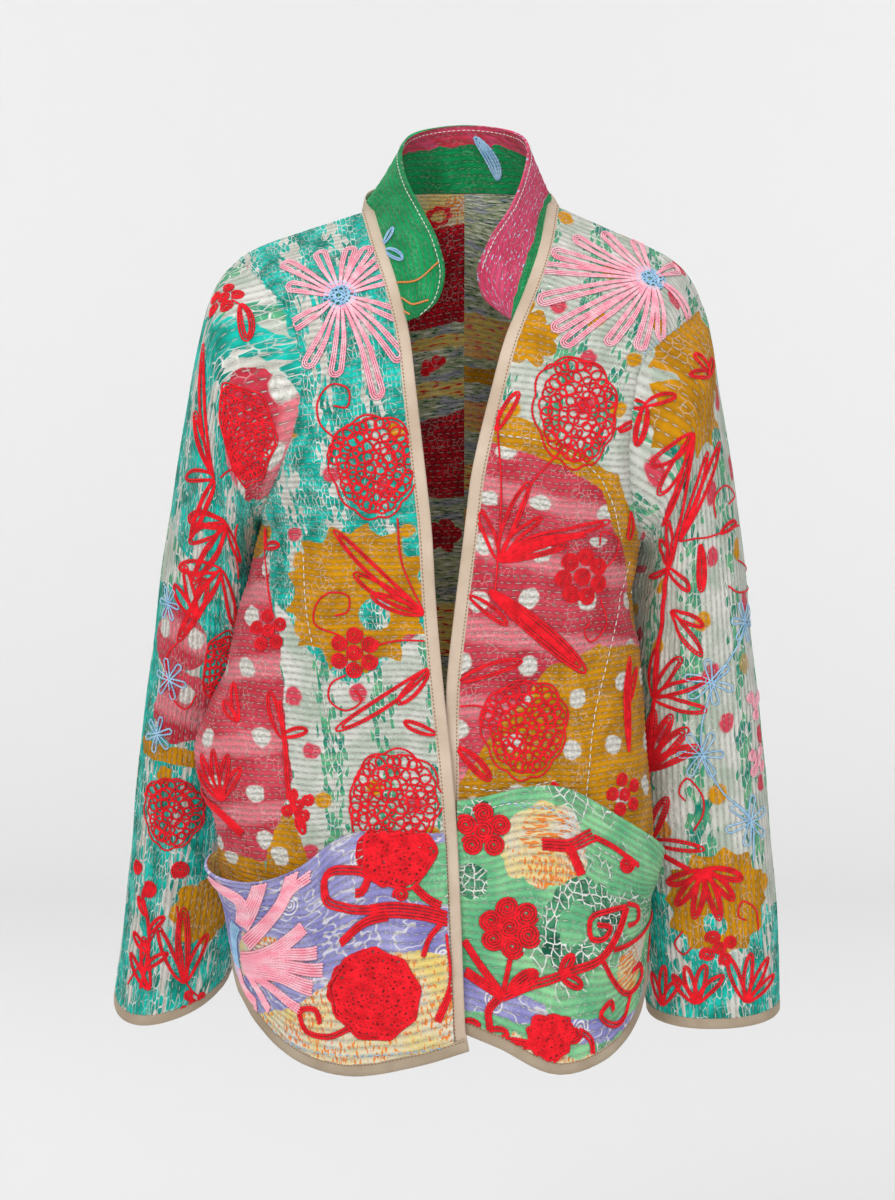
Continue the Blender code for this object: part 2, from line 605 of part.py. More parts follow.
def build_bindings(name, side):
    """The bias bindings of one front, mitred at its lower corner, and of one cuff."""
    hem = side["cloth"][0]
    normals = side["front_normals"][0]
    inside = beyond(hem, side["cloth"][1], normals, SEAM_GAP)
    outside = beyond(hem, side["cloth"][1], normals, SEAM_GAP + BINDING_WIDTH)
    corner = side["edge"][0] + outside[0] - hem[0]
    strip(
        "binding_front_" + name,
        np.vstack([side["band"][:1] + inside[0] - hem[0], side["band"][1:]]),
        np.vstack([corner[None], side["edge"][1:]]),
        side["front_normals"][:, 0],
    )
    outside[0] = corner + unit(hem[1] - hem[0]) * SEAM_GAP * MITRE
    inside, outside = tapered(inside, outside)
    strip("binding_hem_" + name, inside, outside, normals, HEM_BINDING_WALL, (WALL + POCKET_GAP) / 2)
    cuff = side["sleeve"][-1]
    down = unit(side["sleeve"][-1] - side["sleeve"][-2])
    strip(
        "binding_cuff_" + name, cuff + down * SEAM_GAP, cuff + down * (SEAM_GAP + CUFF_BINDING),
        side["sleeve_normals"][-1], closed=True,
    )


def across_back(right, left, key, row, count):
    """A row of both back halves, read from the wearer's right to left."""
    return np.vstack([right[key][row, count::-1], left[key][row, 1 : count + 1]])


def build_back_bindings(right, left):
    """The bindings round the back hem and the back of the neck. Gives the neck binding's free edge."""
    hem, above, normals = (
        across_back(right, left, key, row, BACK_COLUMNS)
        for key, row in (("back", 0), ("back", 1), ("back_normals", 0))
    )
    inside = beyond(hem, above, normals, SEAM_GAP)
    outside = beyond(hem, above, normals, SEAM_GAP + BINDING_WIDTH)
    inside, outside = tapered(inside, outside)
    inside, outside = tapered(inside[::-1].copy(), outside[::-1].copy())
    strip("binding_hem_back", inside[::-1], outside[::-1], normals)

    neck, below, normals = (
        across_back(right, left, key, row, NECK_COLUMNS)
        for key, row in (("back", -1), ("back", -2), ("back_normals", -1))
    )
    inside = beyond(neck, below, normals, NECK_GAP)
    outside = beyond(neck, below, normals, SEAM_GAP + BINDING_WIDTH)
    for end, side in ((0, right), (-1, left)):
        behind = unit(side["back"][-2, NECK_COLUMNS] - side["back"][-1, NECK_COLUMNS]) * SEAM_GAP
        across = unit(side["edge"][-1] - side["band"][-1]) * SEAM_GAP
        inside[end] = side["band"][-1] + 2 * behind + 2 * across
        outside[end] = side["edge"][-1] + behind
    strip("binding_neck", inside, outside, normals)
    return outside, normals


def build_collar(right, left, neck, neck_normals):
    """The stand collar, from the free edge of the neck's bindings to its own free edge."""
    starts = [int(np.argmin(np.abs(side["edge"][:, 2] - COLLAR_START_Z))) for side in (right, left)]
    base = np.vstack([right["edge"][starts[0] :], neck[1:-1], left["edge"][starts[1] :][::-1]])
    base_normals = np.vstack(
        [
            right["front_normals"][starts[0] :, 0],
            neck_normals[1:-1],
            left["front_normals"][starts[1] :, 0][::-1],
        ]
    )
    free = evenly(through(COLLAR_EDGE), len(base) - 1)
    base = base + unit(free - base) * COLLAR_GAP
    share = np.linspace(0, 1, COLLAR_ROWS + 1)[:, None, None]
    collar = base * (1 - share) + free * share
    normals = normals_of(collar)
    normals[0] = base_normals
    wall("collar", collar, normals, "collar")


def main():
    for old in list(bpy.data.objects):
        bpy.data.objects.remove(old)
    right = side_grids(
        FRONT_RIGHT_ROWS, HEM_FRONT_RIGHT, BACK_RIGHT_ROWS, HEM_BACK_RIGHT, SLEEVE_RIGHT_RINGS
    )
    left = side_grids(
        FRONT_LEFT_ROWS, HEM_FRONT_LEFT, BACK_LEFT_ROWS, HEM_BACK_LEFT, SLEEVE_LEFT_RINGS
    )
    centre = unit(right["back_normals"][:, 0] + left["back_normals"][:, 0])
    right["back_normals"][:, 0] = left["back_normals"][:, 0] = centre
    for name, side, mouth in (("right", right, POCKET_MOUTH_RIGHT), ("left", left, POCKET_MOUTH_LEFT)):
        build_cloth(name, side, mouth)
        build_bindings(name, side)
    neck, neck_normals = build_back_bindings(right, left)
    build_collar(right, left, neck, neck_normals)


main()
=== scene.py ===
import math

import bpy
import numpy as np
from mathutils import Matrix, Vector


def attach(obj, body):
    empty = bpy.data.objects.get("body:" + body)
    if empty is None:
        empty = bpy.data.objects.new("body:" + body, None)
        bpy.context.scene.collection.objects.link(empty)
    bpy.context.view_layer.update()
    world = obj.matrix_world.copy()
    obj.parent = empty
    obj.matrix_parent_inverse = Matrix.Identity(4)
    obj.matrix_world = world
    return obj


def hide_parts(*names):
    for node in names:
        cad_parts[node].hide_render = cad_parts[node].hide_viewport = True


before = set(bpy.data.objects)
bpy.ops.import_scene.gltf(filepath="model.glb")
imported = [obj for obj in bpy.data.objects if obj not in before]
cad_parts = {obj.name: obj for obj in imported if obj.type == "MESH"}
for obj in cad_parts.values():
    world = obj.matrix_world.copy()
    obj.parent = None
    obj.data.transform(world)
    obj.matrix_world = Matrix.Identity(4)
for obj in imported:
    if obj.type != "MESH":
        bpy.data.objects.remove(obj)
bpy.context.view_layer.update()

# How the photo was taken. Spots in the tables below are its pixels, right and down.
photo = {
    "width": 895,
    "height": 1200,
    "metresPerPixel": 0.00085,
    "distance": 3.2,
    "elevation": math.radians(6),
    "target": (-0.0106, 0.0, -0.327),
}

# The cloth and how it is sewn, in metres
cloth = {
    "wall": 0.0022,
    "seamGap": 0.0003,
    "rowPitch": 0.0055,
    "dashPitch": 0.0068,
    "ripple": 0.001,
    "unevenness": 0.0011,
    "edgeFade": 0.014,
}
# The record's finishes
slots = {
    "front": "body_patchwork",
    "back": "body_patchwork",
    "sleeve": "sleeve_patchwork",
    "pocket": "pastel_cotton",
    "collar": "green_pink_cotton",
    "binding": "bias_binding",
}
binding = {
    "width": 0.01,
    "tuck": 0.0015,
    "thickness": 0.0034,
    "cuffWidth": 0.008,
    "pocketGap": 0.0011,
    "narrowing": (0.25, 0.55, 0.8),
    "cornerGap": 0.0006,
    "everyRow": 4,
    "everyCuff": 3,
    "rowFromEdge": 0.0019,
    "dashPitch": 0.0032,
    "weave": 0.0011,
}
# Chain stitch: a link's length, steps to a link, its height over the cloth, how far each link swells,
# its width and thickness beside a round cord's, the rows' spacing, its height on the ripples, how the
# links shift along a thread and from thread to thread, and how thin a thread ends
thread = {
    "pitch": 0.0027,
    "steps": 2.5,
    "lift": 0.75,
    "swell": 0.3,
    "sides": 3,
    "wide": 1.12,
    "thick": 0.52,
    "spacing": 1.55,
    "ride": 0.35,
    "drift": 1.05,
    "offset": 1.9,
    "end": 0.25,
}
fineThread = 0.0009
fullThread = 0.00135
# Rows of plain sewing: the length of a step, steps to a dash and from one dash to the next
sewing = {"step": 0.0011, "dash": 5, "every": 6, "radius": 0.0006}
collarSewing = {
    "step": 0.0009,
    "dash": 5,
    "every": 5,
    "radius": 0.0005,
    "inside": 0.0035,
    "lift": 0.0003,
}

# How finely each piece is divided: the part's own divisions times these
fineness = {
    "columns": 5,
    "backColumns": 4,
    "body": 12,
    "armhole": 7,
    "pocket": 12,
    "rings": 5,
    "collar": 4,
}
frontColumns = 8 * fineness["columns"]
backColumns = 9 * fineness["backColumns"]
neckColumns = 4 * fineness["backColumns"]
bodyRows = 22 * fineness["body"]
armholeRows = 16 * fineness["armhole"]
pocketRows = 11 * fineness["pocket"]
sleeveRings = 16 * fineness["rings"]
collarRows = 4 * fineness["collar"]
fine = 192

# Key rows of each front, as in the part: from the pocket mouth up to the shoulder seam. In these
# tables a last column that is left out is 0.
frontColumnNames = (
    "edgeX", "edgeY", "edgeZ", "wideX", "wideY", "sideX", "sideY", "sideZ", "crown", "rise"
)
frontRightRows = {
    "pocket mouth": (-0.002, -0.119, -0.52, -0.204, -0.05, -0.194, -0.034, -0.522),
    "bulge": (-0.006, -0.118, -0.462, -0.222, -0.052, -0.184, -0.014, -0.461),
    "waist": (-0.014, -0.117, -0.385, -0.198, -0.042, -0.172, -0.01, -0.38),
    "ribs": (-0.02, -0.118, -0.315, -0.1785, -0.032, -0.162, -0.008, -0.315),
    "underarm": (-0.023, -0.116, -0.262, -0.167, -0.022, -0.161, -0.008, -0.262),
    "armpit": (-0.0245, -0.1145, -0.245, -0.165, -0.04, -0.165, -0.04, -0.25),
    "low chest": (-0.029, -0.111, -0.205, -0.151, -0.072, -0.151, -0.072, -0.217, 0.003),
    "chest": (-0.036, -0.1, -0.145, -0.132, -0.092, -0.132, -0.092, -0.16, 0.006),
    "high chest": (-0.0415, -0.087, -0.1, -0.131, -0.088, -0.131, -0.088, -0.118, 0.007),
    "yoke": (-0.051, -0.069, -0.06, -0.143, -0.073, -0.143, -0.073, -0.08, 0.006, 0.002),
    "collar bone": (-0.062, -0.043, -0.027, -0.166, -0.041, -0.166, -0.041, -0.056, 0.004, 0.004),
    "shoulder": (-0.0716, 0.0, 0.003, -0.186, 0.0, -0.186, 0.0, -0.04, 0.0, 0.006),
}
frontLeftRows = {
    "pocket mouth": (-0.013, -0.1105, -0.52, 0.162, -0.03, 0.152, -0.012, -0.522),
    "bulge": (-0.0125, -0.1108, -0.462, 0.158, -0.026, 0.147, -0.008, -0.461),
    "waist": (-0.0115, -0.112, -0.385, 0.151, -0.022, 0.141, -0.004, -0.38),
    "ribs": (-0.004, -0.117, -0.315, 0.145, -0.022, 0.138, -0.004, -0.32),
    "underarm": (0.0025, -0.116, -0.262, 0.149, -0.029, 0.145, -0.011, -0.28),
    "armpit": (0.0045, -0.1145, -0.245, 0.149, -0.046, 0.149, -0.046, -0.267),
    "low chest": (0.01, -0.111, -0.205, 0.1385, -0.082, 0.1385, -0.082, -0.217, 0.003),
    "chest": (0.0245, -0.1, -0.145, 0.141, -0.087, 0.141, -0.087, -0.16, 0.006),
    "high chest": (0.037, -0.087, -0.1, 0.149, -0.079, 0.149, -0.079, -0.124, 0.007, 0.004),
    "yoke": (0.0535, -0.069, -0.06, 0.166, -0.066, 0.166, -0.066, -0.105, 0.006, 0.014),
    "collar bone": (0.065, -0.043, -0.027, 0.187, -0.038, 0.187, -0.038, -0.09, 0.004, 0.023),
    "shoulder": (0.0725, 0.0, 0.0085, 0.2035, 0.0, 0.2035, 0.0, -0.078, 0.0, 0.03),
}

# Key rows of each back half
backCentreX = 0.004
backColumnNames = ("centreY", "centreZ", "sideX", "sideY", "sideZ", "square", "rise")
backRightRows = {
    "pocket mouth": (0.106, -0.52, -0.194, -0.034, -0.522, 1.8),
    "bulge": (0.104, -0.462, -0.184, -0.014, -0.461, 1.8),
    "waist": (0.101, -0.385, -0.172, -0.01, -0.38, 1.8),
    "ribs": (0.102, -0.315, -0.162, -0.008, -0.315, 2.0),
    "underarm": (0.105, -0.262, -0.161, -0.008, -0.262, 2.2),
    "back armpit": (0.1055, -0.245, -0.162, 0.022, -0.25, 2.2),
    "low blade": (0.106, -0.205, -0.152, 0.055, -0.217, 2.2),
    "blade": (0.103, -0.145, -0.143, 0.072, -0.16, 2.2),
    "high blade": (0.096, -0.1, -0.144, 0.068, -0.118, 2.2),
    "back yoke": (0.088, -0.058, -0.152, 0.054, -0.082, 2.2, 0.002),
    "nape": (0.079, -0.02, -0.168, 0.032, -0.058, 2.2, 0.003),
}
backLeftRows = {
    "pocket mouth": (0.106, -0.52, 0.152, -0.012, -0.522, 1.9),
    "bulge": (0.104, -0.462, 0.147, -0.008, -0.461, 1.8),
    "waist": (0.101, -0.385, 0.141, -0.004, -0.38, 1.8),
    "ribs": (0.102, -0.315, 0.138, -0.004, -0.32, 1.9),
    "underarm": (0.105, -0.262, 0.145, -0.011, -0.28, 2.2),
    "back armpit": (0.1055, -0.245, 0.148, 0.02, -0.267, 2.2),
    "low blade": (0.106, -0.205, 0.144, 0.055, -0.222, 2.2),
    "blade": (0.103, -0.145, 0.146, 0.07, -0.166, 2.2, 0.002),
    "high blade": (0.096, -0.1, 0.152, 0.066, -0.13, 2.2, 0.005),
    "back yoke": (0.088, -0.058, 0.168, 0.052, -0.107, 2.2, 0.012),
    "nape": (0.079, -0.02, 0.188, 0.03, -0.09, 2.2, 0.02),
}

# Cut hem of each piece, a binding's width inside the finished edge: x, y, z
hemFrontRight = {
    "front corner": (0.0045, -0.1215, -0.68),
    "front": (-0.04, -0.1195, -0.6935),
    "lowest": (-0.098, -0.105, -0.7035),
    "round starts": (-0.133, -0.09, -0.695),
    "round": (-0.166, -0.07, -0.668),
    "round ends": (-0.184, -0.056, -0.636),
    "vent": (-0.191, -0.046, -0.602),
    "vent top": (-0.195, -0.038, -0.573),
}
hemFrontLeft = {
    "front corner": (-0.0115, -0.1108, -0.66),
    "front": (0.035, -0.1115, -0.6795),
    "lowest": (0.085, -0.105, -0.703),
    "round starts": (0.112, -0.093, -0.697),
    "round": (0.138, -0.067, -0.678),
    "round ends": (0.151, -0.045, -0.651),
    "vent": (0.155, -0.026, -0.607),
    "vent top": (0.153, -0.014, -0.573),
}
hemBackRight = {
    "centre": (backCentreX, 0.108, -0.702),
    "middle": (-0.07, 0.1, -0.702),
    "round starts": (-0.118, 0.076, -0.698),
    "round": (-0.155, 0.038, -0.676),
    "round ends": (-0.177, 0.002, -0.638),
    "vent": (-0.186, -0.02, -0.602),
    "vent top": (-0.195, -0.038, -0.573),
}
hemBackLeft = {
    "centre": (backCentreX, 0.108, -0.702),
    "middle": (0.07, 0.098, -0.702),
    "round starts": (0.11, 0.075, -0.698),
    "round": (0.138, 0.045, -0.676),
    "round ends": (0.151, 0.018, -0.638),
    "vent": (0.152, 0.001, -0.602),
    "vent top": (0.153, -0.014, -0.573),
}
# Back of the neck: share of the way from the centre to the shoulder, y, z
backNeck = {
    "centre": (0.0, 0.072, 0.0165),
    "round": (0.62, 0.058, 0.015),
    "side": (0.93, 0.026, 0.0085),
}

# Rings of each sleeve after the armhole: the far and near side of the arm
sleeveColumnNames = (
    "outerX", "outerY", "outerZ", "innerX", "innerY", "innerZ", "halfDepth", "frontDrop"
)
sleeveRightRings = {
    "cap": (-0.2057, 0.0, -0.0643, -0.171, -0.005, -0.259, 0.08),
    "upper cap": (-0.2195, 0.0, -0.1114, -0.1755, 0.001, -0.267, 0.072),
    "lower cap": (-0.2318, 0.002, -0.1773, -0.177, 0.01, -0.281, 0.064),
    "upper arm": (-0.2415, 0.006, -0.2307, -0.1755, 0.02, -0.302, 0.059),
    "mid arm": (-0.2503, 0.012, -0.281, -0.172, 0.031, -0.335, 0.056),
    "above elbow": (-0.2606, 0.02, -0.368, -0.17, 0.048, -0.392, 0.053, 0.004),
    "elbow": (-0.2729, 0.03, -0.448, -0.1735, 0.072, -0.462, 0.05, 0.008),
    "below elbow": (-0.2817, 0.038, -0.536, -0.18, 0.085, -0.536, 0.047, 0.014),
    "forearm": (-0.292, 0.042, -0.617, -0.1895, 0.082, -0.604, 0.045, 0.022),
    "cuff": (-0.2985, 0.042, -0.671, -0.1985, 0.075, -0.645, 0.044, 0.028),
}
sleeveLeftRings = {
    "cap": (0.2109, 0.0, -0.1068, 0.1555, -0.008, -0.276, 0.074),
    "upper cap": (0.217, 0.0, -0.145, 0.1595, 0.0, -0.284, 0.069),
    "lower cap": (0.225, 0.0, -0.193, 0.1595, 0.009, -0.298, 0.063),
    "upper arm": (0.233, 0.002, -0.245, 0.156, 0.018, -0.316, 0.058),
    "mid arm": (0.241, 0.006, -0.305, 0.151, 0.026, -0.346, 0.053),
    "above elbow": (0.25, 0.012, -0.378, 0.147, 0.034, -0.402, 0.049),
    "elbow": (0.2595, 0.02, -0.459, 0.148, 0.04, -0.47, 0.046, 0.002),
    "below elbow": (0.269, 0.03, -0.553, 0.15, 0.043, -0.55, 0.044, 0.005),
    "forearm": (0.2744, 0.034, -0.627, 0.156, 0.042, -0.624, 0.042, 0.008),
    "cuff": (0.2765, 0.035, -0.677, 0.163, 0.037, -0.679, 0.041, 0.011),
}
armSquare = 2.2
frontSquare = 2.3

# Free edge of the collar, from the wearer's right round the back to the left
collarEdge = {
    "right end": (-0.035, -0.0865, -0.0845),
    "right round": (-0.0205, -0.092, -0.073),
    "right bottom": (-0.0132, -0.0925, -0.052),
    "right lower": (-0.019, -0.084, -0.022),
    "right mid": (-0.031, -0.068, 0.002),
    "right upper": (-0.043, -0.047, 0.024),
    "right neck": (-0.0492, -0.012, 0.052),
    "right nape": (-0.036, 0.032, 0.068),
    "nape": (0.0045, 0.056, 0.0745),
    "left nape": (0.043, 0.032, 0.069),
    "left neck": (0.0565, -0.012, 0.055),
    "left upper": (0.053, -0.04, 0.033),
    "left mid": (0.042, -0.064, 0.006),
    "left lower": (0.023, -0.083, -0.023),
    "left bottom": (0.014, -0.0925, -0.05),
    "left round": (0.0195, -0.092, -0.069),
    "left end": (0.035, -0.0865, -0.083),
}
# Where the collar starts on the front edge, how finely it is divided, how full its roll is, how much
# weaker its ripples and stitches show, and the filled loop inside the nape
collarLook = {
    "startZ": -0.089,
    "step": 0.0018,
    "roll": 0.0015,
    "ripple": 0.7,
    "strength": 0.4,
    "loopLength": 0.034,
    "loopWidth": 0.013,
    "loopTurn": 12,
    "loopPlace": (0.545, 0.5),
    "loopBase": 0.016,
}

# Mouth of each pocket: share of the way to the side, height, how far it gapes
pocketMouthRight = {
    "binding": (0.0, -0.507, 0.002),
    "flat": (0.36, -0.512, 0.005),
    "fold": (0.52, -0.537, 0.011),
    "sag": (0.66, -0.548, 0.015),
    "side": (0.86, -0.545, 0.012),
    "corner": (1.00, -0.533, 0.002),
}
pocketMouthLeft = {
    "binding": (0.0, -0.481, 0.002),
    "flat": (0.42, -0.474, 0.004),
    "slant": (0.62, -0.502, 0.008),
    "low": (0.8, -0.528, 0.009),
    "corner": (1.00, -0.55, 0.002),
}

# Creases: where each starts and ends (share across, share up or along), half width, depth outward
creases = {
    "front_right": [
        (0.98, 0.6, 0.55, 0.5, 0.01, -0.0022),
        (0.99, 0.52, 0.5, 0.4, 0.011, 0.0026),
        (0.97, 0.44, 0.62, 0.36, 0.009, -0.0024),
        (0.98, 0.36, 0.7, 0.3, 0.008, 0.002),
        (0.9, 0.7, 0.42, 0.62, 0.012, 0.0018),
        (0.55, 0.92, 0.85, 0.74, 0.012, -0.0018),
        (0.2, 0.55, 0.35, 0.3, 0.016, 0.0014),
    ],
    "front_left": [
        (0.97, 0.62, 0.55, 0.66, 0.01, -0.0022),
        (0.98, 0.56, 0.45, 0.58, 0.009, 0.0022),
        (0.97, 0.5, 0.5, 0.49, 0.008, -0.0018),
        (0.96, 0.43, 0.6, 0.4, 0.009, 0.0016),
        (0.6, 0.92, 0.82, 0.7, 0.012, -0.002),
        (0.7, 0.74, 0.95, 0.66, 0.007, 0.0026),
        (0.15, 0.5, 0.3, 0.3, 0.016, 0.0012),
    ],
    "back_right": [
        (0.95, 0.6, 0.4, 0.52, 0.012, -0.0024),
        (0.96, 0.5, 0.45, 0.44, 0.011, 0.0022),
        (0.3, 0.9, 0.6, 0.66, 0.014, 0.002),
        (0.1, 0.36, 0.7, 0.32, 0.014, -0.0018),
    ],
    "back_left": [
        (0.95, 0.58, 0.38, 0.54, 0.012, -0.0022),
        (0.97, 0.49, 0.42, 0.42, 0.01, 0.0022),
        (0.34, 0.88, 0.62, 0.64, 0.014, 0.0018),
        (0.15, 0.3, 0.72, 0.34, 0.014, -0.0016),
    ],
    "sleeve_right": [
        (0.0, 0.08, 0.0, 0.34, 0.016, 0.0085),
        (1.00, 0.08, 1.00, 0.34, 0.016, 0.0085),
        (0.1, 0.24, 0.44, 0.14, 0.01, -0.003),
        (0.04, 0.33, 0.4, 0.26, 0.009, 0.0028),
        (0.06, 0.42, 0.42, 0.36, 0.01, -0.0026),
        (0.05, 0.52, 0.36, 0.44, 0.009, 0.0026),
        (0.08, 0.58, 0.46, 0.55, 0.009, -0.0024),
        (0.12, 0.66, 0.44, 0.6, 0.01, 0.002),
        (0.26, 0.7, 0.3, 0.97, 0.012, 0.0022),
        (0.56, 0.3, 0.9, 0.22, 0.012, 0.0024),
        (0.6, 0.46, 0.94, 0.42, 0.01, -0.0024),
        (0.58, 0.62, 0.92, 0.56, 0.011, 0.0022),
    ],
    "sleeve_left": [
        (0.0, 0.06, 0.0, 0.34, 0.016, 0.009),
        (1.00, 0.06, 1.00, 0.34, 0.016, 0.009),
        (0.08, 0.2, 0.4, 0.12, 0.009, -0.003),
        (0.04, 0.3, 0.34, 0.22, 0.008, 0.003),
        (0.05, 0.38, 0.3, 0.32, 0.009, -0.0026),
        (0.22, 0.26, 0.24, 0.6, 0.008, 0.004),
        (0.05, 0.48, 0.3, 0.44, 0.008, -0.0026),
        (0.07, 0.58, 0.36, 0.52, 0.009, 0.0022),
        (0.1, 0.72, 0.4, 0.66, 0.01, -0.002),
        (0.6, 0.32, 0.92, 0.24, 0.012, 0.0024),
        (0.58, 0.5, 0.93, 0.44, 0.01, -0.0022),
        (0.62, 0.66, 0.9, 0.6, 0.011, 0.0022),
    ],
    "pocket_right": [
        (0.5, 0.98, 0.42, 0.55, 0.009, 0.0022),
        (0.6, 0.97, 0.66, 0.6, 0.01, -0.0024),
        (0.8, 0.9, 0.5, 0.72, 0.01, 0.002),
    ],
    "pocket_left": [
        (0.45, 0.98, 0.4, 0.6, 0.009, -0.0016),
        (0.6, 0.9, 0.9, 0.74, 0.01, 0.002),
    ],
    "collar": [],
}


def lengthsAlong(points):
    steps = np.linalg.norm(np.diff(points, axis=0), axis=1)
    return np.concatenate(([0.0], np.cumsum(steps)))


def smoothLine(knots, values, at):
    # a smooth curve through (knots, values), read at the places in at
    knots = np.asarray(knots, float)
    values = np.asarray(values, float)
    step = np.diff(knots)
    slope = np.diff(values, axis=0) / step.reshape((-1,) + (1,) * (values.ndim - 1))
    tangent = np.empty_like(values)
    tangent[0] = slope[0]
    tangent[-1] = slope[-1]
    share = (step[:-1] / (step[:-1] + step[1:])).reshape((-1,) + (1,) * (values.ndim - 1))
    tangent[1:-1] = slope[:-1] * (1 - share) + slope[1:] * share
    at = np.clip(np.asarray(at, float), knots[0], knots[-1])
    i = np.clip(np.searchsorted(knots, at, side="right") - 1, 0, len(step) - 1)
    shape = (-1,) + (1,) * (values.ndim - 1)
    h = step[i].reshape(shape)
    t = ((at - knots[i]) / step[i]).reshape(shape)
    return (
        values[i] * (2 * t**3 - 3 * t**2 + 1)
        + tangent[i] * h * (t**3 - 2 * t**2 + t)
        + values[i + 1] * (3 * t**2 - 2 * t**3)
        + tangent[i + 1] * h * (t**3 - t**2)
    )


def through(stations):
    points = np.array(list(stations.values()), float)
    knots = lengthsAlong(points)
    return smoothLine(knots, points, np.linspace(0, knots[-1], fine))


def evenly(points, count, start=0.0):
    # points at even steps, the first one a given length from the line's start
    run = lengthsAlong(points)
    at = np.linspace(start, run[-1], count + 1)
    return np.stack([np.interp(at, run, points[:, k]) for k in range(3)], axis=1)


def rounded(start, end, square):
    # a quarter of a rounded plan shape, from the middle of a side to its flank
    turn = np.linspace(0, np.pi / 2, fine)
    across = np.sin(turn) ** (2 / square)
    along = np.cos(turn) ** (2 / square)
    plan = np.stack(
        [start[0] + (end[0] - start[0]) * across, end[1] + (start[1] - end[1]) * along], axis=1
    )
    share = lengthsAlong(plan)
    return np.column_stack([plan, start[2] + (end[2] - start[2]) * share / share[-1]])


def lifted(line, share, rise):
    line[:, 2] += rise * share * (1 - share**10)
    return line


def named(names, values):
    return {name: values[k] if k < len(values) else 0.0 for k, name in enumerate(names)}


def frontRow(values):
    row = named(frontColumnNames, values)
    line = rounded((row["edgeX"], row["edgeY"], 0.0), (row["wideX"], row["wideY"], 0.0), frontSquare)
    if row["sideY"] > row["wideY"] + cloth["wall"]:
        turn = np.linspace(0, np.pi / 2, fine // 3)[1:]
        behind = np.column_stack(
            [
                row["sideX"] + (row["wideX"] - row["sideX"]) * np.cos(turn),
                row["wideY"] + (row["sideY"] - row["wideY"]) * np.sin(turn),
                np.zeros(len(turn)),
            ]
        )
        line = np.vstack([line, behind])
    share = lengthsAlong(line)
    share = share / share[-1]
    line[:, 2] = row["edgeZ"] + (row["sideZ"] - row["edgeZ"]) * share
    line[:, 1] -= row["crown"] * np.sin(np.pi * share)
    return lifted(line, share, row["rise"])


def backRow(values):
    row = named(backColumnNames, values)
    centre = (backCentreX, row["centreY"], row["centreZ"])
    line = rounded(centre, (row["sideX"], row["sideY"], row["sideZ"]), row["square"])
    share = lengthsAlong(line)
    return lifted(line, share / share[-1], row["rise"])


def loft(rows, underarm):
    rows = np.array(rows)
    side = lengthsAlong(rows[:, -1])
    middle = lengthsAlong(rows[:, rows.shape[1] // 2])
    knots = side / side[-1] + middle / middle[-1]
    lower = np.linspace(knots[0], knots[underarm], bodyRows + 1)
    dense = np.linspace(knots[underarm], knots[-1], 4 * fine)
    run = lengthsAlong(smoothLine(knots, rows[:, -1], dense))
    upper = np.interp(np.linspace(0, run[-1], armholeRows + 1), run, dense)
    return smoothLine(knots, rows, np.concatenate([lower, upper[1:]]))


def unit(vectors):
    return vectors / np.maximum(np.linalg.norm(vectors, axis=-1, keepdims=True), 1e-12)


def normalsOf(grid, closed=False):
    # unit normals of a grid, facing away from the body or the arm
    rows, columns = grid.shape[:2]
    following = np.roll(grid, -1, axis=1) if closed else grid[:, 1:]
    here = grid if closed else grid[:, :-1]
    faces = np.cross(following[1:] - here[:-1], here[1:] - following[:-1])
    total = np.zeros_like(grid)
    for down in (0, 1):
        for along in (0, 1):
            target = (np.arange(faces.shape[1]) + along) % columns
            total[down : down + rows - 1, target] += faces
    total = unit(total)
    middle = grid.mean(axis=1, keepdims=True) if closed else grid * np.array([0.0, 0.0, 1.0])
    facing = np.einsum("rck,rck->", total, grid - middle)
    return total if facing > 0 else -total


def frontGrids(table, hem):
    # the front's cloth, tucked into the binding, and the finished free edge
    keys = [through(hem)] + [frontRow(values) for values in table.values()]
    rows = loft([evenly(row, fine) for row in keys], 1 + list(table).index("underarm"))
    inside = binding["width"] + cloth["seamGap"]
    grid = np.array([evenly(row, frontColumns, inside) for row in rows])
    return grid, rows[:, 0]


def backGrid(table, hem, shoulder):
    keys = [through(hem)] + [backRow(values) for values in table.values()]
    keys = [evenly(row, backColumns) for row in keys]
    neckEnd = shoulder[0]
    stations = {
        name: (backCentreX + (neckEnd[0] - backCentreX) * share, y, z)
        for name, (share, y, z) in backNeck.items()
    }
    stations["shoulder"] = neckEnd
    neck = evenly(through(stations), neckColumns)
    seam = evenly(shoulder, backColumns - neckColumns)
    keys.append(np.vstack([neck[:-1], seam]))
    return loft(keys, 1 + list(table).index("underarm"))


def sleeveGrid(table, armhole):
    turn = np.linspace(0, 2 * np.pi, len(armhole), endpoint=False)
    across = -np.sign(np.cos(turn)) * np.abs(np.cos(turn)) ** (2 / armSquare)
    forward = np.sign(np.sin(turn)) * np.abs(np.sin(turn)) ** (2 / armSquare)
    keys = [armhole]
    for values in table.values():
        ring = named(sleeveColumnNames, values)
        outer = np.array([ring["outerX"], ring["outerY"], ring["outerZ"]])
        inner = np.array([ring["innerX"], ring["innerY"], ring["innerZ"]])
        front = np.array([0.0, -ring["halfDepth"], -ring["frontDrop"]])
        middle = (outer + inner) / 2
        keys.append(middle + across[:, None] * (outer - inner) / 2 + forward[:, None] * front)
    keys = np.array(keys)
    spread = np.linalg.norm(np.diff(keys, axis=0), axis=2).mean(axis=1)
    knots = np.concatenate(([0.0], np.cumsum(spread)))
    return smoothLine(knots, keys, np.linspace(0, knots[-1], sleeveRings + 1))


def waver(a, b, seed):
    # a smooth uneven value between about -1 and 1
    return (
        np.sin(a * 31 + b * 17 + seed)
        + np.sin(a * -53 + b * 41 + seed * 2.3)
        + np.sin(a * 97 + b * 73 + seed * 4.1) * 0.6
    ) / 2.6


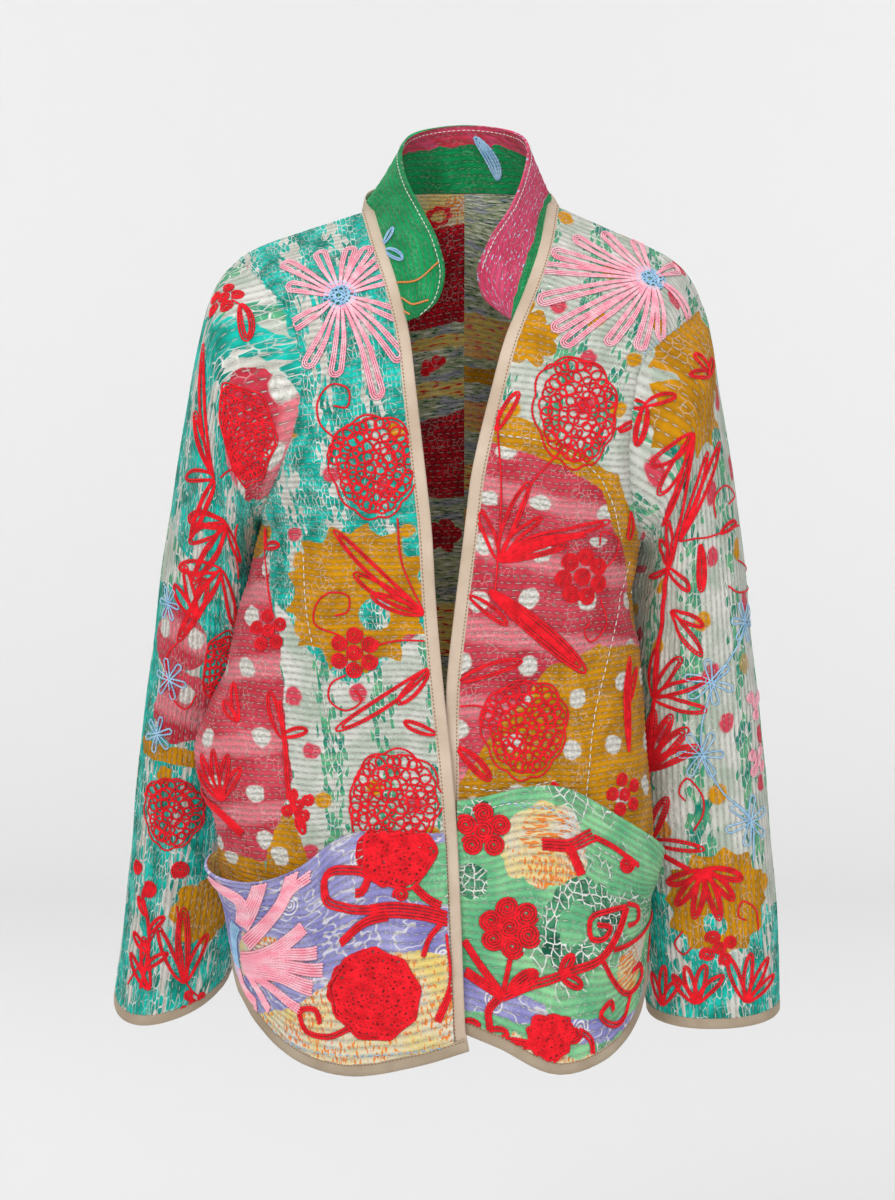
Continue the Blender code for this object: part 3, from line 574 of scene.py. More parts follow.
def makePanel(name, grid, closed=False):
    # a piece of cloth with its flat coordinates in metres: u across and v along the rows' stack
    rows, columns = grid.shape[:2]
    if closed:
        around = np.linalg.norm(np.roll(grid, -1, axis=1) - grid, axis=2).sum(axis=1)
        width = np.full(rows, around.mean())
        u = np.linspace(0, 1, columns + 1)[None, :] * width[:, None]
    else:
        steps = np.linalg.norm(np.diff(grid, axis=1), axis=2)
        u = np.hstack([np.zeros((rows, 1)), np.cumsum(steps, axis=1)])
        width = u[:, -1]
    v = np.concatenate(([0.0], np.cumsum(np.linalg.norm(np.diff(grid, axis=0), axis=2).mean(axis=1))))
    panel = {"name": name, "grid": grid, "u": u, "v": v, "width": width, "closed": closed}
    panel["normals"] = normalsOf(grid, closed)
    return panel


def flatPlaces(panel):
    u = panel["u"][:, : panel["grid"].shape[1]]
    return u, np.repeat(panel["v"][:, None], u.shape[1], axis=1)


def fadeAtEdges(panel):
    # 1 inside the piece, 0 at its seams
    u, v = flatPlaces(panel)
    near = np.minimum(v, panel["v"][-1] - v)
    if not panel["closed"]:
        near = np.minimum(near, np.minimum(u, panel["width"][:, None] - u))
    share = np.clip(near / cloth["edgeFade"], 0, 1)
    return share * share * (3 - 2 * share)


def creasePanel(panel, seed):
    # presses the creases and a soft unevenness into the piece
    u, v = flatPlaces(panel)
    push = cloth["unevenness"] * waver(u, v, seed)
    length = panel["v"][-1]
    middleWidth = panel["width"].mean()
    for startU, startV, endU, endV, halfWidth, depth in creases[panel["name"]]:
        start = np.array([startU * middleWidth, startV * length])
        run = np.array([endU * middleWidth, endV * length]) - start
        scale = middleWidth / panel["width"][:, None]
        away = np.stack([u * scale, v], axis=-1) - start
        along = np.clip((away @ run) / (run @ run), 0, 1)
        bend = 0.004 * np.sin(along * 7 + seed)
        distance = np.linalg.norm(away - along[..., None] * run, axis=-1) + bend
        taper = np.sin(np.pi * np.clip(along * 0.9 + 0.08, 0, 1))
        push = push + depth * np.exp(-((distance / halfWidth) ** 2)) * taper
    push = push * fadeAtEdges(panel)
    panel["grid"] = panel["grid"] + panel["normals"] * push[..., None]
    panel["normals"] = normalsOf(panel["grid"], panel["closed"])


def rippleOf(panel, lengthwise):
    # quilted ripples: a trough at every row of running stitch
    u, v = flatPlaces(panel)
    if lengthwise:
        count = round(panel["width"][0] / cloth["rowPitch"])
        phase = u / panel["width"][0] * count
    else:
        phase = (v + rowWobble(u, v)) / cloth["rowPitch"]
    uneven = 0.75 + 0.25 * waver(u * 5, v * 5, 3.0)
    return cloth["ripple"] * 0.5 * np.cos(2 * np.pi * phase) * uneven


def rowWobble(u, v):
    return 0.0009 * np.sin(u * 58 + v * 9) + 0.0006 * np.sin(u * 131 + v * 23 + 1.7)


def project(points):
    # where points show in the photo, in its pixels
    away = points - np.array(photo["target"])
    up, level = math.sin(photo["elevation"]), math.cos(photo["elevation"])
    depth = photo["distance"] + away[..., 1] * level - away[..., 2] * up
    scale = photo["distance"] / photo["metresPerPixel"] / depth
    right = photo["width"] / 2 + away[..., 0] * scale
    down = photo["height"] / 2 - (away[..., 2] * level + away[..., 1] * up) * scale
    return np.stack([right, down], axis=-1)


def spotOn(panel, spot):
    # flat place on a piece of a spot in the photo, on the side that faces the camera
    if "seen" not in panel:
        seen = project(panel["grid"])
        hidden = panel["normals"][..., 1] > panel.get("facing", 0.25)
        panel["seen"] = np.where(hidden[..., None], 1e6, seen)
    distance = np.linalg.norm(panel["seen"] - np.array(spot, float), axis=-1)
    row, column = np.unravel_index(np.argmin(distance), distance.shape)
    past = (np.array(spot, float) - panel["seen"][row, column]) * (1, -1) * photo["metresPerPixel"]
    place = np.array([panel["u"][row, column], panel["v"][row]])
    return place + frameAt(panel, place) @ past if np.linalg.norm(past) > 0.003 else place


# How a motif is laid on a piece: the reach that its frame is measured over, and how much a steep
# place may squeeze or stretch it
laying = {"reach": 0.004, "least": 0.45, "most": 1.15}


def frameAt(panel, place):
    # turns metres to the right and up, as seen from outside, into steps across and along the piece
    step = laying["reach"]
    steps = np.array([[step, 0], [-step, 0], [0, step], [0, -step]])
    edge = 1.5 * step
    width = np.interp(place[1], panel["v"], panel["width"])
    u = place[0] if panel["closed"] else np.clip(place[0], edge, width - edge)
    here = np.array([u, np.clip(place[1], edge, panel["v"][-1] - edge)])
    spots, normals = surfaceAt(panel, here + steps)[:2]
    alongU, alongV = (spots[0] - spots[1]) / (2 * step), (spots[2] - spots[3]) / (2 * step)
    normal = unit(normals.mean(axis=0))
    up = unit(np.array([0.0, 0.0, 1.0]) - normal * normal[2])
    right = np.cross(up, normal)
    turn = np.array([[alongU @ right, alongV @ right], [alongU @ up, alongV @ up]])
    left, stretch, right = np.linalg.svd(np.linalg.inv(turn))
    return left @ np.diag(np.clip(stretch, laying["least"], laying["most"])) @ right


def surfaceAt(panel, places):
    # points and normals of a piece at flat places, and whether each lies on it
    grid, normals = panel["grid"], panel["normals"]
    rows, columns = grid.shape[:2]
    row = np.interp(places[:, 1], panel["v"], np.arange(rows))
    width = np.interp(places[:, 1], panel["v"], panel["width"])
    inside = (places[:, 1] > panel["v"][0]) & (places[:, 1] < panel["v"][-1])
    r = np.clip(row.astype(int), 0, rows - 2)
    fr = (row - r)[:, None]
    if panel["closed"]:
        column = places[:, 0] / width * columns
        c = np.floor(column).astype(int)
        fc = (column - c)[:, None]
        c, following = c % columns, (c + 1) % columns
    else:
        inside &= (places[:, 0] > 0) & (places[:, 0] < width)
        column = np.clip(places[:, 0] / width * (columns - 1), 0, columns - 1.001)
        c = column.astype(int)
        fc = (column - c)[:, None]
        following = c + 1

    def blend(field):
        low = field[r, c] * (1 - fc) + field[r, following] * fc
        high = field[r + 1, c] * (1 - fc) + field[r + 1, following] * fc
        return low * (1 - fr) + high * fr

    return blend(grid), unit(blend(normals)), inside


def meshObject(name, vertices, faces, materials):
    mesh = bpy.data.meshes.new(name)
    mesh.from_pydata(np.asarray(vertices).tolist(), [], faces)
    for material in materials:
        mesh.materials.append(material)
    mesh.shade_smooth()
    made = bpy.data.objects.new(name, mesh)
    bpy.context.collection.objects.link(made)
    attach(made, "root")
    return made


def turnOutward(vertices, faces):
    # faces of a closed mesh turned so that its normals face out
    corners = vertices[np.array([face[:3] for face in faces])]
    middle = vertices.mean(axis=0)
    corners = corners - middle
    volume = np.einsum("ij,ij->", corners[:, 0], np.cross(corners[:, 1], corners[:, 2]))
    return [face[::-1] for face in faces] if volume < 0 else faces


def quadsOf(rows, columns, start, closed=False):
    across = columns if closed else columns - 1
    r, c = np.meshgrid(np.arange(rows - 1), np.arange(across), indexing="ij")
    low = start + r * columns
    high = low + columns
    following = (c + 1) % columns
    return np.stack([low + c, low + following, high + following, high + c], axis=-1).reshape(-1, 4)


def clothObject(panel, relief, outside, inside, innerStep):
    # a thin closed shell: the finely rippled outside, a plain reverse and the cut edges between them
    grid, normals, closed = panel["grid"], panel["normals"], panel["closed"]
    rows, columns = grid.shape[:2]
    outer = grid + normals * (cloth["wall"] / 2 + relief)[..., None]
    pick = np.ix_(range(0, rows, innerStep[0]), range(0, columns, innerStep[1]))
    inner = grid[pick] - normals[pick] * (cloth["wall"] / 2)
    count = rows * columns
    outerNumbers = np.arange(count).reshape(rows, columns)
    innerNumbers = count + np.arange(inner.size // 3).reshape(inner.shape[:2])
    faces = quadsOf(rows, columns, 0, closed).tolist()
    outerFaces = len(faces)
    faces += quadsOf(*inner.shape[:2], count, closed)[:, ::-1].tolist()
    innerFaces = len(faces)

    def rim(outerLine, innerLine, step, flip):
        outerLine, innerLine = outerLine.tolist(), innerLine.tolist()
        if closed:
            outerLine.append(outerLine[0])
            innerLine.append(innerLine[0])
        for k in range(len(innerLine) - 1):
            low = outerLine[k * step : k * step + step + 1]
            face = low[::-1] + [innerLine[k], innerLine[k + 1]]
            faces.append(face[::-1] if flip else face)

    for end, flip in ((0, False), (-1, True)):
        rim(outerNumbers[end], innerNumbers[end], innerStep[1], flip)
    if not closed:
        for end, flip in ((0, True), (-1, False)):
            rim(outerNumbers[:, end], innerNumbers[:, end], innerStep[0], flip)
    vertices = np.vstack([outer.reshape(-1, 3), inner.reshape(-1, 3)])
    faces = turnOutward(vertices, faces)
    made = meshObject(panel["name"] + "_cloth", vertices, faces, [outside, inside])
    mesh = made.data
    index = np.zeros(len(mesh.polygons), int)
    index[outerFaces:innerFaces] = 1
    mesh.polygons.foreach_set("material_index", index)
    mesh.set_sharp_from_angle(angle=math.radians(75))
    addPanelMap(mesh, panel, pick)
    return made


def cornersOf(mesh):
    # the vertex at each corner of each face
    corners = np.empty(len(mesh.loops), int)
    mesh.loops.foreach_get("vertex_index", corners)
    return corners


def addMap(mesh, flat):
    # the flat map that the prints read: a place in metres for each corner of each face
    layer = mesh.uv_layers.new(name="flat")
    layer.data.foreach_set("uv", flat.astype(np.float32).ravel())


def addPanelMap(mesh, panel, pick):
    # metres across and along the piece, with the wobble of the stitched rows
    u, v = flatPlaces(panel)
    wobble = 0.0 if panel["closed"] else rowWobble(u, v)
    places = np.stack([u, v + wobble], axis=-1)
    places = np.vstack([places.reshape(-1, 2), places[pick].reshape(-1, 2)])
    flat = places[cornersOf(mesh)]
    if panel["closed"]:
        # the faces over the sleeve's seam go on past its width, and don't turn back to 0
        starts = np.empty(len(mesh.polygons), int)
        totals = np.empty(len(mesh.polygons), int)
        mesh.polygons.foreach_get("loop_start", starts)
        mesh.polygons.foreach_get("loop_total", totals)
        face = np.repeat(np.arange(len(starts)), totals)
        highest = np.zeros(len(starts))
        np.maximum.at(highest, face, flat[:, 0])
        width = panel["width"][0]
        wraps = (highest[face] > width * 0.75) & (flat[:, 0] < width * 0.25)
        flat[wraps, 0] += width
    addMap(mesh, flat)


def bindingSection(width, thickness):
    # a folded strip, seen end on: flat on both faces, rolled over the cut edge
    half = thickness / 2
    return [
        (-width, half * 0.55),
        (-width * 0.96, half * 0.92),
        (-width * 0.8, half * 0.84),
        (-width * 0.45, half * 1.02),
        (-width * 0.14, half * 0.98),
        (-width * 0.03, half * 0.62),
        (0.0, 0.0),
        (-width * 0.03, -half * 0.62),
        (-width * 0.14, -half * 0.98),
        (-width * 0.5, -half * 1.0),
        (-width * 0.96, -half * 0.92),
        (-width, -half * 0.55),
    ]


def awayFrom(line, nextLine, normals):
    along = unit(np.gradient(line, axis=0))
    away = unit(np.cross(along, normals))
    facing = np.sign(np.einsum("ij,ij->", away, line - nextLine))
    return away * facing


def bindingObject(name, line, normals, away, width, thickness, material, closed=False, narrow=()):
    # a strip over the edge that ends at the line. Small puckers come from the sewing.
    run = lengthsAlong(line)
    pucker = 1 + 0.07 * np.sin(run * 2 * np.pi / 0.011) + 0.05 * np.sin(run * 2 * np.pi / 0.029 + 1)
    section = np.array(bindingSection(width + binding["tuck"], thickness))
    scale = np.ones(len(line))
    for k, share in enumerate(binding["narrowing"]):
        if "start" in narrow:
            scale[k] = share
        if "end" in narrow:
            scale[-1 - k] = share
    across = section[None, :, 0:1] * scale[:, None, None]
    out = section[None, :, 1:2] * pucker[:, None, None]
    points = line[:, None] + away[:, None] * across + normals[:, None] * out
    rows, columns = points.shape[:2]
    faces = (quadsOf(rows + closed, columns, 0, True) % (rows * columns)).tolist()
    if not closed:
        faces += [list(range(columns))[::-1], list(range((rows - 1) * columns, rows * columns))]
    vertices = points.reshape(-1, 3)
    made = meshObject(name + "_strip", vertices, turnOutward(vertices, faces), [material])
    made.data.set_sharp_from_angle(angle=math.radians(60))
    flat = np.stack([np.repeat(run, columns), -np.tile(section[:, 0], rows)], axis=-1)
    addMap(made.data, flat[cornersOf(made.data)])
    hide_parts(name)
    return made


def dye(code):
    # a colour as on screen, turned into the render's own values
    parts = [int(code[k : k + 2], 16) / 255 for k in (1, 3, 5)]
    return tuple(p / 12.92 if p <= 0.04045 else ((p + 0.055) / 1.055) ** 2.4 for p in parts)


dyeCodes = {
    "tealDark": "#028472",
    "teal": "#10CABA",
    "cream": "#DEDDD6",
    "paper": "#C2C1B4",
    "fog": "#B3C0B0",
    "mustard": "#D69400",
    "mustardDark": "#B27A00",
    "brick": "#C0283C",
    "brickLight": "#D8475A",
    "pinkStripe": "#F08E98",
    "thread": "#E0DBD2",
    "red": "#FF1428",
    "redDark": "#D8061A",
    "pink": "#FFCBD6",
    "sky": "#B2D8F2",
    "petal": "#FF9FB4",
    "skyDark": "#8FBEE2",
    "mint": "#97DBA0",
    "mintDark": "#63B884",
    "lavender": "#8583C4",
    "lavenderLight": "#A9A8D8",
    "pale": "#EAD27C",
    "orange": "#EE8A3A",
    "bottle": "#0E5C46",
    "white": "#EDEBE6",
    "collarGreen": "#06A35E",
    "collarGreenDark": "#048A4C",
    "collarPink": "#E2507A",
    "collarPinkDark": "#D23A62",
    "collarBand": "#D03A4C",
    "crimson": "#F2142C",
    "crimsonDark": "#B80C22",
    "wine": "#4E0310",
    "moss": "#C2CCA4",
    "mossDark": "#8FA276",
    "rust": "#E8965E",
    "olive": "#DBC568",
    "beige": "#D2BFAB",
    "beigeDark": "#C2AD98",
    "taupe": "#B4A48F",
    "taupeDark": "#A08E78",
    "stitchBrown": "#8A6A4C",
    # painted shade for the troughs of the quilting
    "troughShade": "#3A2A24",
    "backdrop": "#E8E8E8",
}
dyes = {name: dye(code) for name, code in dyeCodes.items()}

# How strongly each effect of the sewn cloth shows, and its finish
look = {
    "wear": 0.3,
    # how strongly the painted shade darkens the quilting's troughs
    "troughShade": 0.24,
    "stitch": 0.6,
    "ragged": 0.006,
    "patchEdge": 0.0006,
    "relief": 0.0017,
    "bindingRelief": 0.0006,
    "threadRelief": 0.0003,
    "bump": 0.9,
    "roughness": 0.88,
    "threadRoughness": 0.62,
    "specular": 0.2,
    "sheen": 0.045,
    "threadSheen": 0.1,
    "sheenRoughness": 0.5,
}


class Paint:
    # short ways to build one cloth material

    def __init__(self, name):
        self.material = bpy.data.materials.new(name)
        self.material.use_nodes = True
        self.tree = self.material.node_tree
        self.shader = self.tree.nodes["Principled BSDF"]
        self.made = {}
        self.flat = self.add("ShaderNodeUVMap", uv_map="flat").outputs[0]
        self.u, self.v = self.split(self.flat)
        # the same map with small random shifts, for ragged outlines
        shift = self.vector("SUBTRACT", self.noise(self.flat, 70, output="Color"), (0.5, 0.5, 0.5))
        shift = self.vector("SCALE", shift, None, None, look["ragged"])
        self.ragged = self.vector("ADD", self.flat, shift)
        self.ru, self.rv = self.split(self.ragged)

    def add(self, kind, inputs=(), **settings):
        node = self.tree.nodes.new(kind)
        for name, value in settings.items():
            setattr(node, name, value)
        for socket, given in zip(node.inputs, inputs):
            self.give(socket, given)
        return node

    def give(self, socket, given):
        # a link, a dye by its name, or a plain value
        if isinstance(given, bpy.types.NodeSocket):
            self.tree.links.new(given, socket)
        elif isinstance(given, str):
            socket.default_value = (*dyes[given], 1.0)
        elif given is not None:
            socket.default_value = given

    def giveAll(self, node, values):
        for name, given in values.items():
            self.give(node.inputs[name], given)

    def math(self, operation, a, b=None, c=None, clamp=False):
        return self.add("ShaderNodeMath", [a, b, c], operation=operation, use_clamp=clamp).outputs[0]

    def vector(self, operation, *inputs):
        return self.add("ShaderNodeVectorMath", inputs, operation=operation).outputs[0]

    def split(self, vector):
        return self.add("ShaderNodeSeparateXYZ", [vector]).outputs[:2]

    def above(self, value, edge, softness):
        # 0 below the edge and 1 above it, and the other way round where the softness is negative
        return self.math("MULTIPLY_ADD", value, 1 / softness, 0.5 - edge / softness, clamp=True)

    def below(self, value, edge, softness):
        return self.above(value, edge, -softness)

    def both(self, a, b):
        return self.math("MULTIPLY", a, b)

    def scaled(self, value, by, plus):
        return self.math("MULTIPLY_ADD", value, by, plus)

    def apart(self, a, b):
        return self.math("ABSOLUTE", self.math("SUBTRACT", a, b))

    def stretched(self, alongU, alongV):
        return self.vector("MULTIPLY", self.flat, (alongU, alongV, 1.0))

    def noise(self, vector, scale, detail=2.0, output="Fac"):
        node = self.add("ShaderNodeTexNoise", noise_dimensions="2D")
        self.giveAll(node, {"Vector": vector, "Scale": scale, "Detail": detail})
        return node.outputs[output]

    def cells(self, vector, scale, randomness=1.0, feature="F1"):
        node = self.add("ShaderNodeTexVoronoi", voronoi_dimensions="2D", feature=feature)
        self.giveAll(node, {"Vector": vector, "Scale": scale, "Randomness": randomness})
        return node.outputs

    def net(self, vector, scale):
        # how far inside its own cell a place lies
        return self.cells(vector, scale, feature="DISTANCE_TO_EDGE")["Distance"]

    def mix(self, factor, a, b, strength=1.0):
        node = self.add("ShaderNodeMix", data_type="RGBA")
        factor = factor if strength == 1.0 else self.both(factor, strength)
        self.giveAll(node, {"Factor": factor, "A": a, "B": b})
        return node.outputs["Result"]

    def shade(self, dark, light, scale=35, detail=3.0):
        # two tones of one dye, clouded
        return self.mix(self.above(self.noise(self.flat, scale, detail), 0.5, 0.35), dark, light)


# The marks of the prints, each laid over a ground


def streaks(paint, ground, dark, light, density, sway, period):
    # old printed cloth: upright dashes of dye with pale cracked rims, thicker in some wide bands
    upright = paint.stretched(1.0, 0.34)
    chance = paint.split(paint.cells(upright, 300)["Color"])[0]
    band = paint.math("SINE", paint.scaled(paint.ru, 2 * math.pi / period, sway))
    level = paint.scaled(band, 0.48, chance)
    level = paint.scaled(paint.noise(paint.flat, 14), 0.9, level)
    inked = paint.above(level, 1.45 - density, 0.06)
    rim = paint.both(paint.below(level, 2.05 - density, 0.25), paint.above(level, 1.25 - density, 0.2))
    rim = paint.both(rim, paint.below(paint.net(upright, 300), 0.07, 0.05))
    rim = paint.both(rim, paint.above(paint.noise(paint.flat, 38), 0.42, 0.25))
    return paint.mix(rim, paint.mix(inked, ground, paint.shade(dark, light, 60)), "white", 0.9)


def dots(paint, ground, spacing, radius):
    distance = paint.cells(paint.ragged, 1 / spacing, 0.32)["Distance"]
    white = paint.shade("paper", "white", 400)
    return paint.mix(paint.below(distance, radius / spacing, 0.035), ground, white)


def strewn(paint, ground, spacing=0.046, radius=0.0074):
    # mustard and brick spots, in about four fifths of the cells
    cells = paint.cells(paint.ragged, 1 / spacing, 0.55)
    pick = paint.split(cells["Color"])[0]
    spot = paint.mix(paint.above(pick, 0.5, 0.02), "mustard", "brickLight")
    shown = paint.below(cells["Distance"], radius / spacing, 0.04)
    return paint.mix(paint.both(shown, paint.above(pick, 0.18, 0.02)), ground, spot)


def strands(paint, ground, stretch, scale, detail, edge, softness, ink, strength=1.0):
    level = paint.noise(paint.stretched(*stretch), scale, detail)
    return paint.mix(paint.above(level, edge, softness), ground, ink, strength)


def netting(paint, ground, scale, width, softness, ink):
    return paint.mix(paint.below(paint.net(paint.ragged, scale), width, softness), ground, ink)


def slantStripes(paint, ground, slant=0.16, spacing=0.062):
    across = paint.scaled(paint.ru, slant, paint.rv)
    wave = paint.math("SINE", paint.both(across, 2 * math.pi / spacing))
    return paint.mix(paint.above(wave, 0.62, 0.5), ground, "pinkStripe", 0.7)


def wavesAndRings(paint, ground, spacing=0.052):
    wave = paint.apart(paint.noise(paint.stretched(1.0, 2.2), 34), 0.5)
    ground = paint.mix(paint.below(wave, 0.022, 0.02), ground, "white", 0.7)
    ring = paint.cells(paint.flat, 1 / spacing, 0.7)["Distance"]
    beat = paint.apart(paint.math("PINGPONG", ring, 0.055), 0.03)
    rings = paint.both(paint.below(ring, 0.17, 0.02), paint.below(beat, 0.012, 0.012))
    return paint.mix(rings, ground, "white")


def leafClumps(paint, ground):
    some = paint.above(paint.noise(paint.flat, 26, 1), 0.56, 0.05)
    ground = paint.mix(some, ground, "bottle", 0.35)
    outline = paint.below(paint.net(paint.ragged, 110), 0.05, 0.05)
    return paint.mix(paint.both(some, outline), ground, "white")


def flecks(paint, ground):
    fleck = paint.noise(paint.stretched(1.6, 0.9), 260)
    level = paint.scaled(paint.noise(paint.flat, 18, 1), 0.55, fleck)
    return paint.mix(paint.above(level, 0.86, 0.06), ground, "orange")


# Each print: its ground, which is two tones and how finely they are clouded or another print, then
# the marks on it in their order
prints = {
    "teal": [("paper", "cream"), (streaks, "tealDark", "teal", 0.92, 0.4, 0.04)],
    "fleck": [("fog", "cream"), (streaks, "tealDark", "mintDark", 0.22, 2.0, 0.046)],
    "tealSpots": ["teal", (strewn,)],
    "fleckSpots": ["fleck", (strewn,)],
    "mustard": [("mustardDark", "mustard", 45)],
    "mustardDots": ["mustard", (dots, 0.044, 0.0078)],
    "brick": [
        ("brick", "brickLight", 30),
        (slantStripes,),
        (strands, (1.0, 0.3), 700, 1, 0.66, 0.1, "tealDark", 0.5),
        (dots, 0.048, 0.0082),
    ],
    "lavender": [("lavender", "lavenderLight", 30), (wavesAndRings,)],
    "mint": [("mintDark", "mint", 30), (leafClumps,)],
    "pale": [("pale", "cream", 24), (flecks,)],
    "bottle": [("bottle", "mintDark", 40), (netting, 150, 0.07, 0.05, "white")],
    "crimson": [("crimsonDark", "crimson", 50), (netting, 300, 0.1, 0.1, "wine")],
    "moss": [
        ("mossDark", "moss", 40),
        (strands, (0.4, 2.4), 260, 3, 0.6, 0.1, "white"),
        (strands, (0.6, 2.0), 60, 2, 0.58, 0.1, "lavender", 0.5),
        (strands, (0.4, 2.4), 260, 3, 0.38, -0.06, "bottle"),
    ],
    "rust": [("rust", "olive", 26), (strands, (0.4, 2.0), 260, 2, 0.62, 0.1, "brickLight")],
    "olive": [("olive", "pale", 34), (strands, (0.4, 2.0), 240, 2, 0.6, 0.1, "redDark")],
    "red": [("redDark", "red", 160)],
    "sun": [("pale", "cream", 24), (strands, (0.35, 1.6), 300, 1, 0.52, 0.08, "orange")],
    "sky": [("sky", "lavenderLight", 60)],
    "green": [("collarGreenDark", "collarGreen", 50)],
    "pink": [("collarPinkDark", "collarPink", 50), (strands, (0.7, 1.5), 330, 1, 0.7, 0.05, "sky")],
    "band": [("collarBand", "collarPink", 60)],
}


def printed(paint, name):
    if name not in paint.made:
        ground, *marks = prints[name]
        colour = printed(paint, ground) if isinstance(ground, str) else paint.shade(*ground)
        for mark, *values in marks:
            colour = mark(paint, colour, *values)
        paint.made[name] = colour
    return paint.made[name]


def patchMask(paint, panel, kind, spots):
    # the mask of one patch: an area with straight sides and no inward corner, a band right across the
    # piece with the heights of its four corners, a disc with its radius, or a flower with its radius,
    # petals and how deep the notches between them are
    if kind == "band":
        spots = list(zip((-0.1, 1.2, 1.2, -0.1), spots))
    if kind in ("area", "band"):
        corners = np.array([placeOf(panel, spot) for spot in spots])
        middle = corners.mean(axis=0)
        result = None
        for start, end in zip(corners, np.roll(corners, -1, axis=0)):
            run = end - start
            away = np.array([-run[1], run[0]]) / np.linalg.norm(run)
            away = away * np.sign(away @ (middle - start))
            reach = paint.both(paint.ru, float(away[0]))
            reach = paint.scaled(paint.rv, float(away[1]), reach)
            mask = paint.above(reach, float(away @ start), look["patchEdge"])
            result = mask if result is None else paint.both(result, mask)
        return result
    centre = placeOf(panel, spots[0])
    turn = np.linalg.inv(frameAt(panel, centre))
    right, up = [
        paint.scaled(
            paint.ru, float(line[0]), paint.scaled(paint.rv, float(line[1]), float(-line @ centre))
        )
        for line in turn
    ]
    distance = paint.math("SQRT", paint.math("ADD", paint.both(right, right), paint.both(up, up)))
    if kind == "disc":
        return paint.below(distance, spots[1], look["patchEdge"])
    radius, petals, depth = spots[1:]
    angle = paint.math("ARCTAN2", up, right)
    wave = paint.math("ABSOLUTE", paint.math("SINE", paint.both(angle, petals / 2)))
    limit = paint.scaled(wave, radius * depth, radius * (1 - depth))
    return paint.above(paint.math("SUBTRACT", limit, distance), 0.0, look["patchEdge"])


def placeOf(panel, spot):
    # a spot is in the photo's pixels, or a share across and a share up where both are below 2
    if max(abs(spot[0]), abs(spot[1])) < 2:
        return np.array([spot[0] * panel["width"].mean(), spot[1] * panel["v"][-1]])
    return spotOn(panel, spot)


def clothMaterial(name, panel, design, lengthwise=False, strength=1.0):
    paint = Paint(name)
    ground, *pieces = design
    colour = printed(paint, ground)
    for patch, kind, *spots in pieces:
        colour = paint.mix(patchMask(paint, panel, kind, spots), colour, printed(paint, patch))
    # running stitch: a place in the row, a place along it, and a different start in each row
    across, along = (paint.u, paint.v) if lengthwise else (paint.v, paint.u)
    pitch = cloth["rowPitch"]
    if lengthwise:
        pitch = panel["width"][0] / round(panel["width"][0] / pitch)
    row = paint.both(across, 1 / pitch)
    chance = paint.add("ShaderNodeTexWhiteNoise", noise_dimensions="1D")
    paint.giveAll(chance, {"W": paint.math("FLOOR", row)})
    place = paint.scaled(along, 1 / cloth["dashPitch"], chance.outputs["Value"])
    place = paint.scaled(paint.noise(paint.flat, 45, 1), 1.6, place)
    dash = paint.below(paint.apart(paint.math("FRACT", place), 0.5), 0.25, 0.08)
    fromRow = paint.apart(paint.math("FRACT", row), 0.5)
    stitch = paint.both(dash, paint.below(fromRow, 0.062, 0.06))
    # wear: fine pale creases of the old cloth, and painted shade: darker colour in the troughs along the
    # rows
    bare = paint.above(paint.noise(paint.flat, 55, 3), 0.55, 0.12)
    wear = paint.both(paint.below(paint.net(paint.stretched(1.0, 0.7), 210), 0.05, 0.05), bare)
    colour = paint.mix(wear, colour, "white", look["wear"] * strength)
    # painted shade: the troughs where the rows of running stitch sink in are darkened
    colour = paint.mix(paint.below(fromRow, 0.26, 0.4), colour, "troughShade", look["troughShade"])
    colour = paint.mix(stitch, colour, "thread", look["stitch"] * strength)
    pucker = paint.noise(paint.stretched(1.0, 0.5) if lengthwise else paint.stretched(0.5, 1.0), 260)
    height = paint.scaled(paint.noise(paint.flat, 1500), 0.25, paint.both(pucker, 1.3))
    height = paint.math("SUBTRACT", height, paint.both(stitch, 0.7))
    return finished(paint, colour, height)


def finished(paint, colour, height, relief="relief", roughness="roughness", sheen="sheen"):
    bump = paint.add("ShaderNodeBump")
    paint.giveAll(bump, {"Strength": look["bump"], "Distance": look[relief], "Height": height})
    values = {
        "Base Color": colour,
        "Normal": bump.outputs[0],
        "Roughness": look[roughness],
        "Specular IOR Level": look["specular"],
        "Sheen Weight": look[sheen],
        "Sheen Roughness": look["sheenRoughness"],
    }
    paint.giveAll(paint.shader, values)
    return paint.material


def bindingMaterial(name, light, dark):
    # plain-woven cotton with a row of small brown stitches near its inner edge
    paint = Paint(name)
    row = paint.apart(paint.v, binding["width"] + binding["tuck"] - binding["rowFromEdge"])
    dashes = paint.apart(paint.math("FRACT", paint.both(paint.u, 1 / binding["dashPitch"])), 0.5)
    stitch = paint.both(paint.below(dashes, 0.3, 0.1), paint.below(row, 0.0005, 0.0003))
    colour = paint.mix(stitch, paint.shade(dark, light, 22), "stitchBrown", 0.85)
    slant = paint.math("ADD", paint.u, paint.v)
    weave = paint.math("SINE", paint.both(slant, 2 * math.pi / binding["weave"]))
    height = paint.scaled(weave, 0.08, paint.noise(paint.stretched(1.0, 0.35), 190))
    height = paint.math("SUBTRACT", height, paint.both(stitch, 0.5))
    return finished(paint, colour, height, "bindingRelief", sheen="threadSheen")


def threadMaterial(name, light, dark):
    paint = Paint(name)
    grain = paint.noise(paint.flat, 1800, 1)
    colour = paint.shade(dark, light, 120)
    return finished(paint, colour, grain, "threadRelief", "threadRoughness", "threadSheen")


threadDyes = {
    "red": ("red", "redDark"),
    "pink": ("pink", "petal"),
    "sky": ("sky", "skyDark"),
    "white": ("white", "cream"),
    "orange": ("orange", "rust"),
}
threads = {name: threadMaterial(name + "_thread", *pair) for name, pair in threadDyes.items()}


# Motifs. Each gives strokes in metres round its own middle: (points, colour, thread radius).

def turned(points, degrees, x=0.0, y=0.0):
    turn = math.radians(degrees)
    spin = np.array([[math.cos(turn), math.sin(turn)], [-math.sin(turn), math.cos(turn)]])
    return np.asarray(points) @ spin + np.array([x, y])


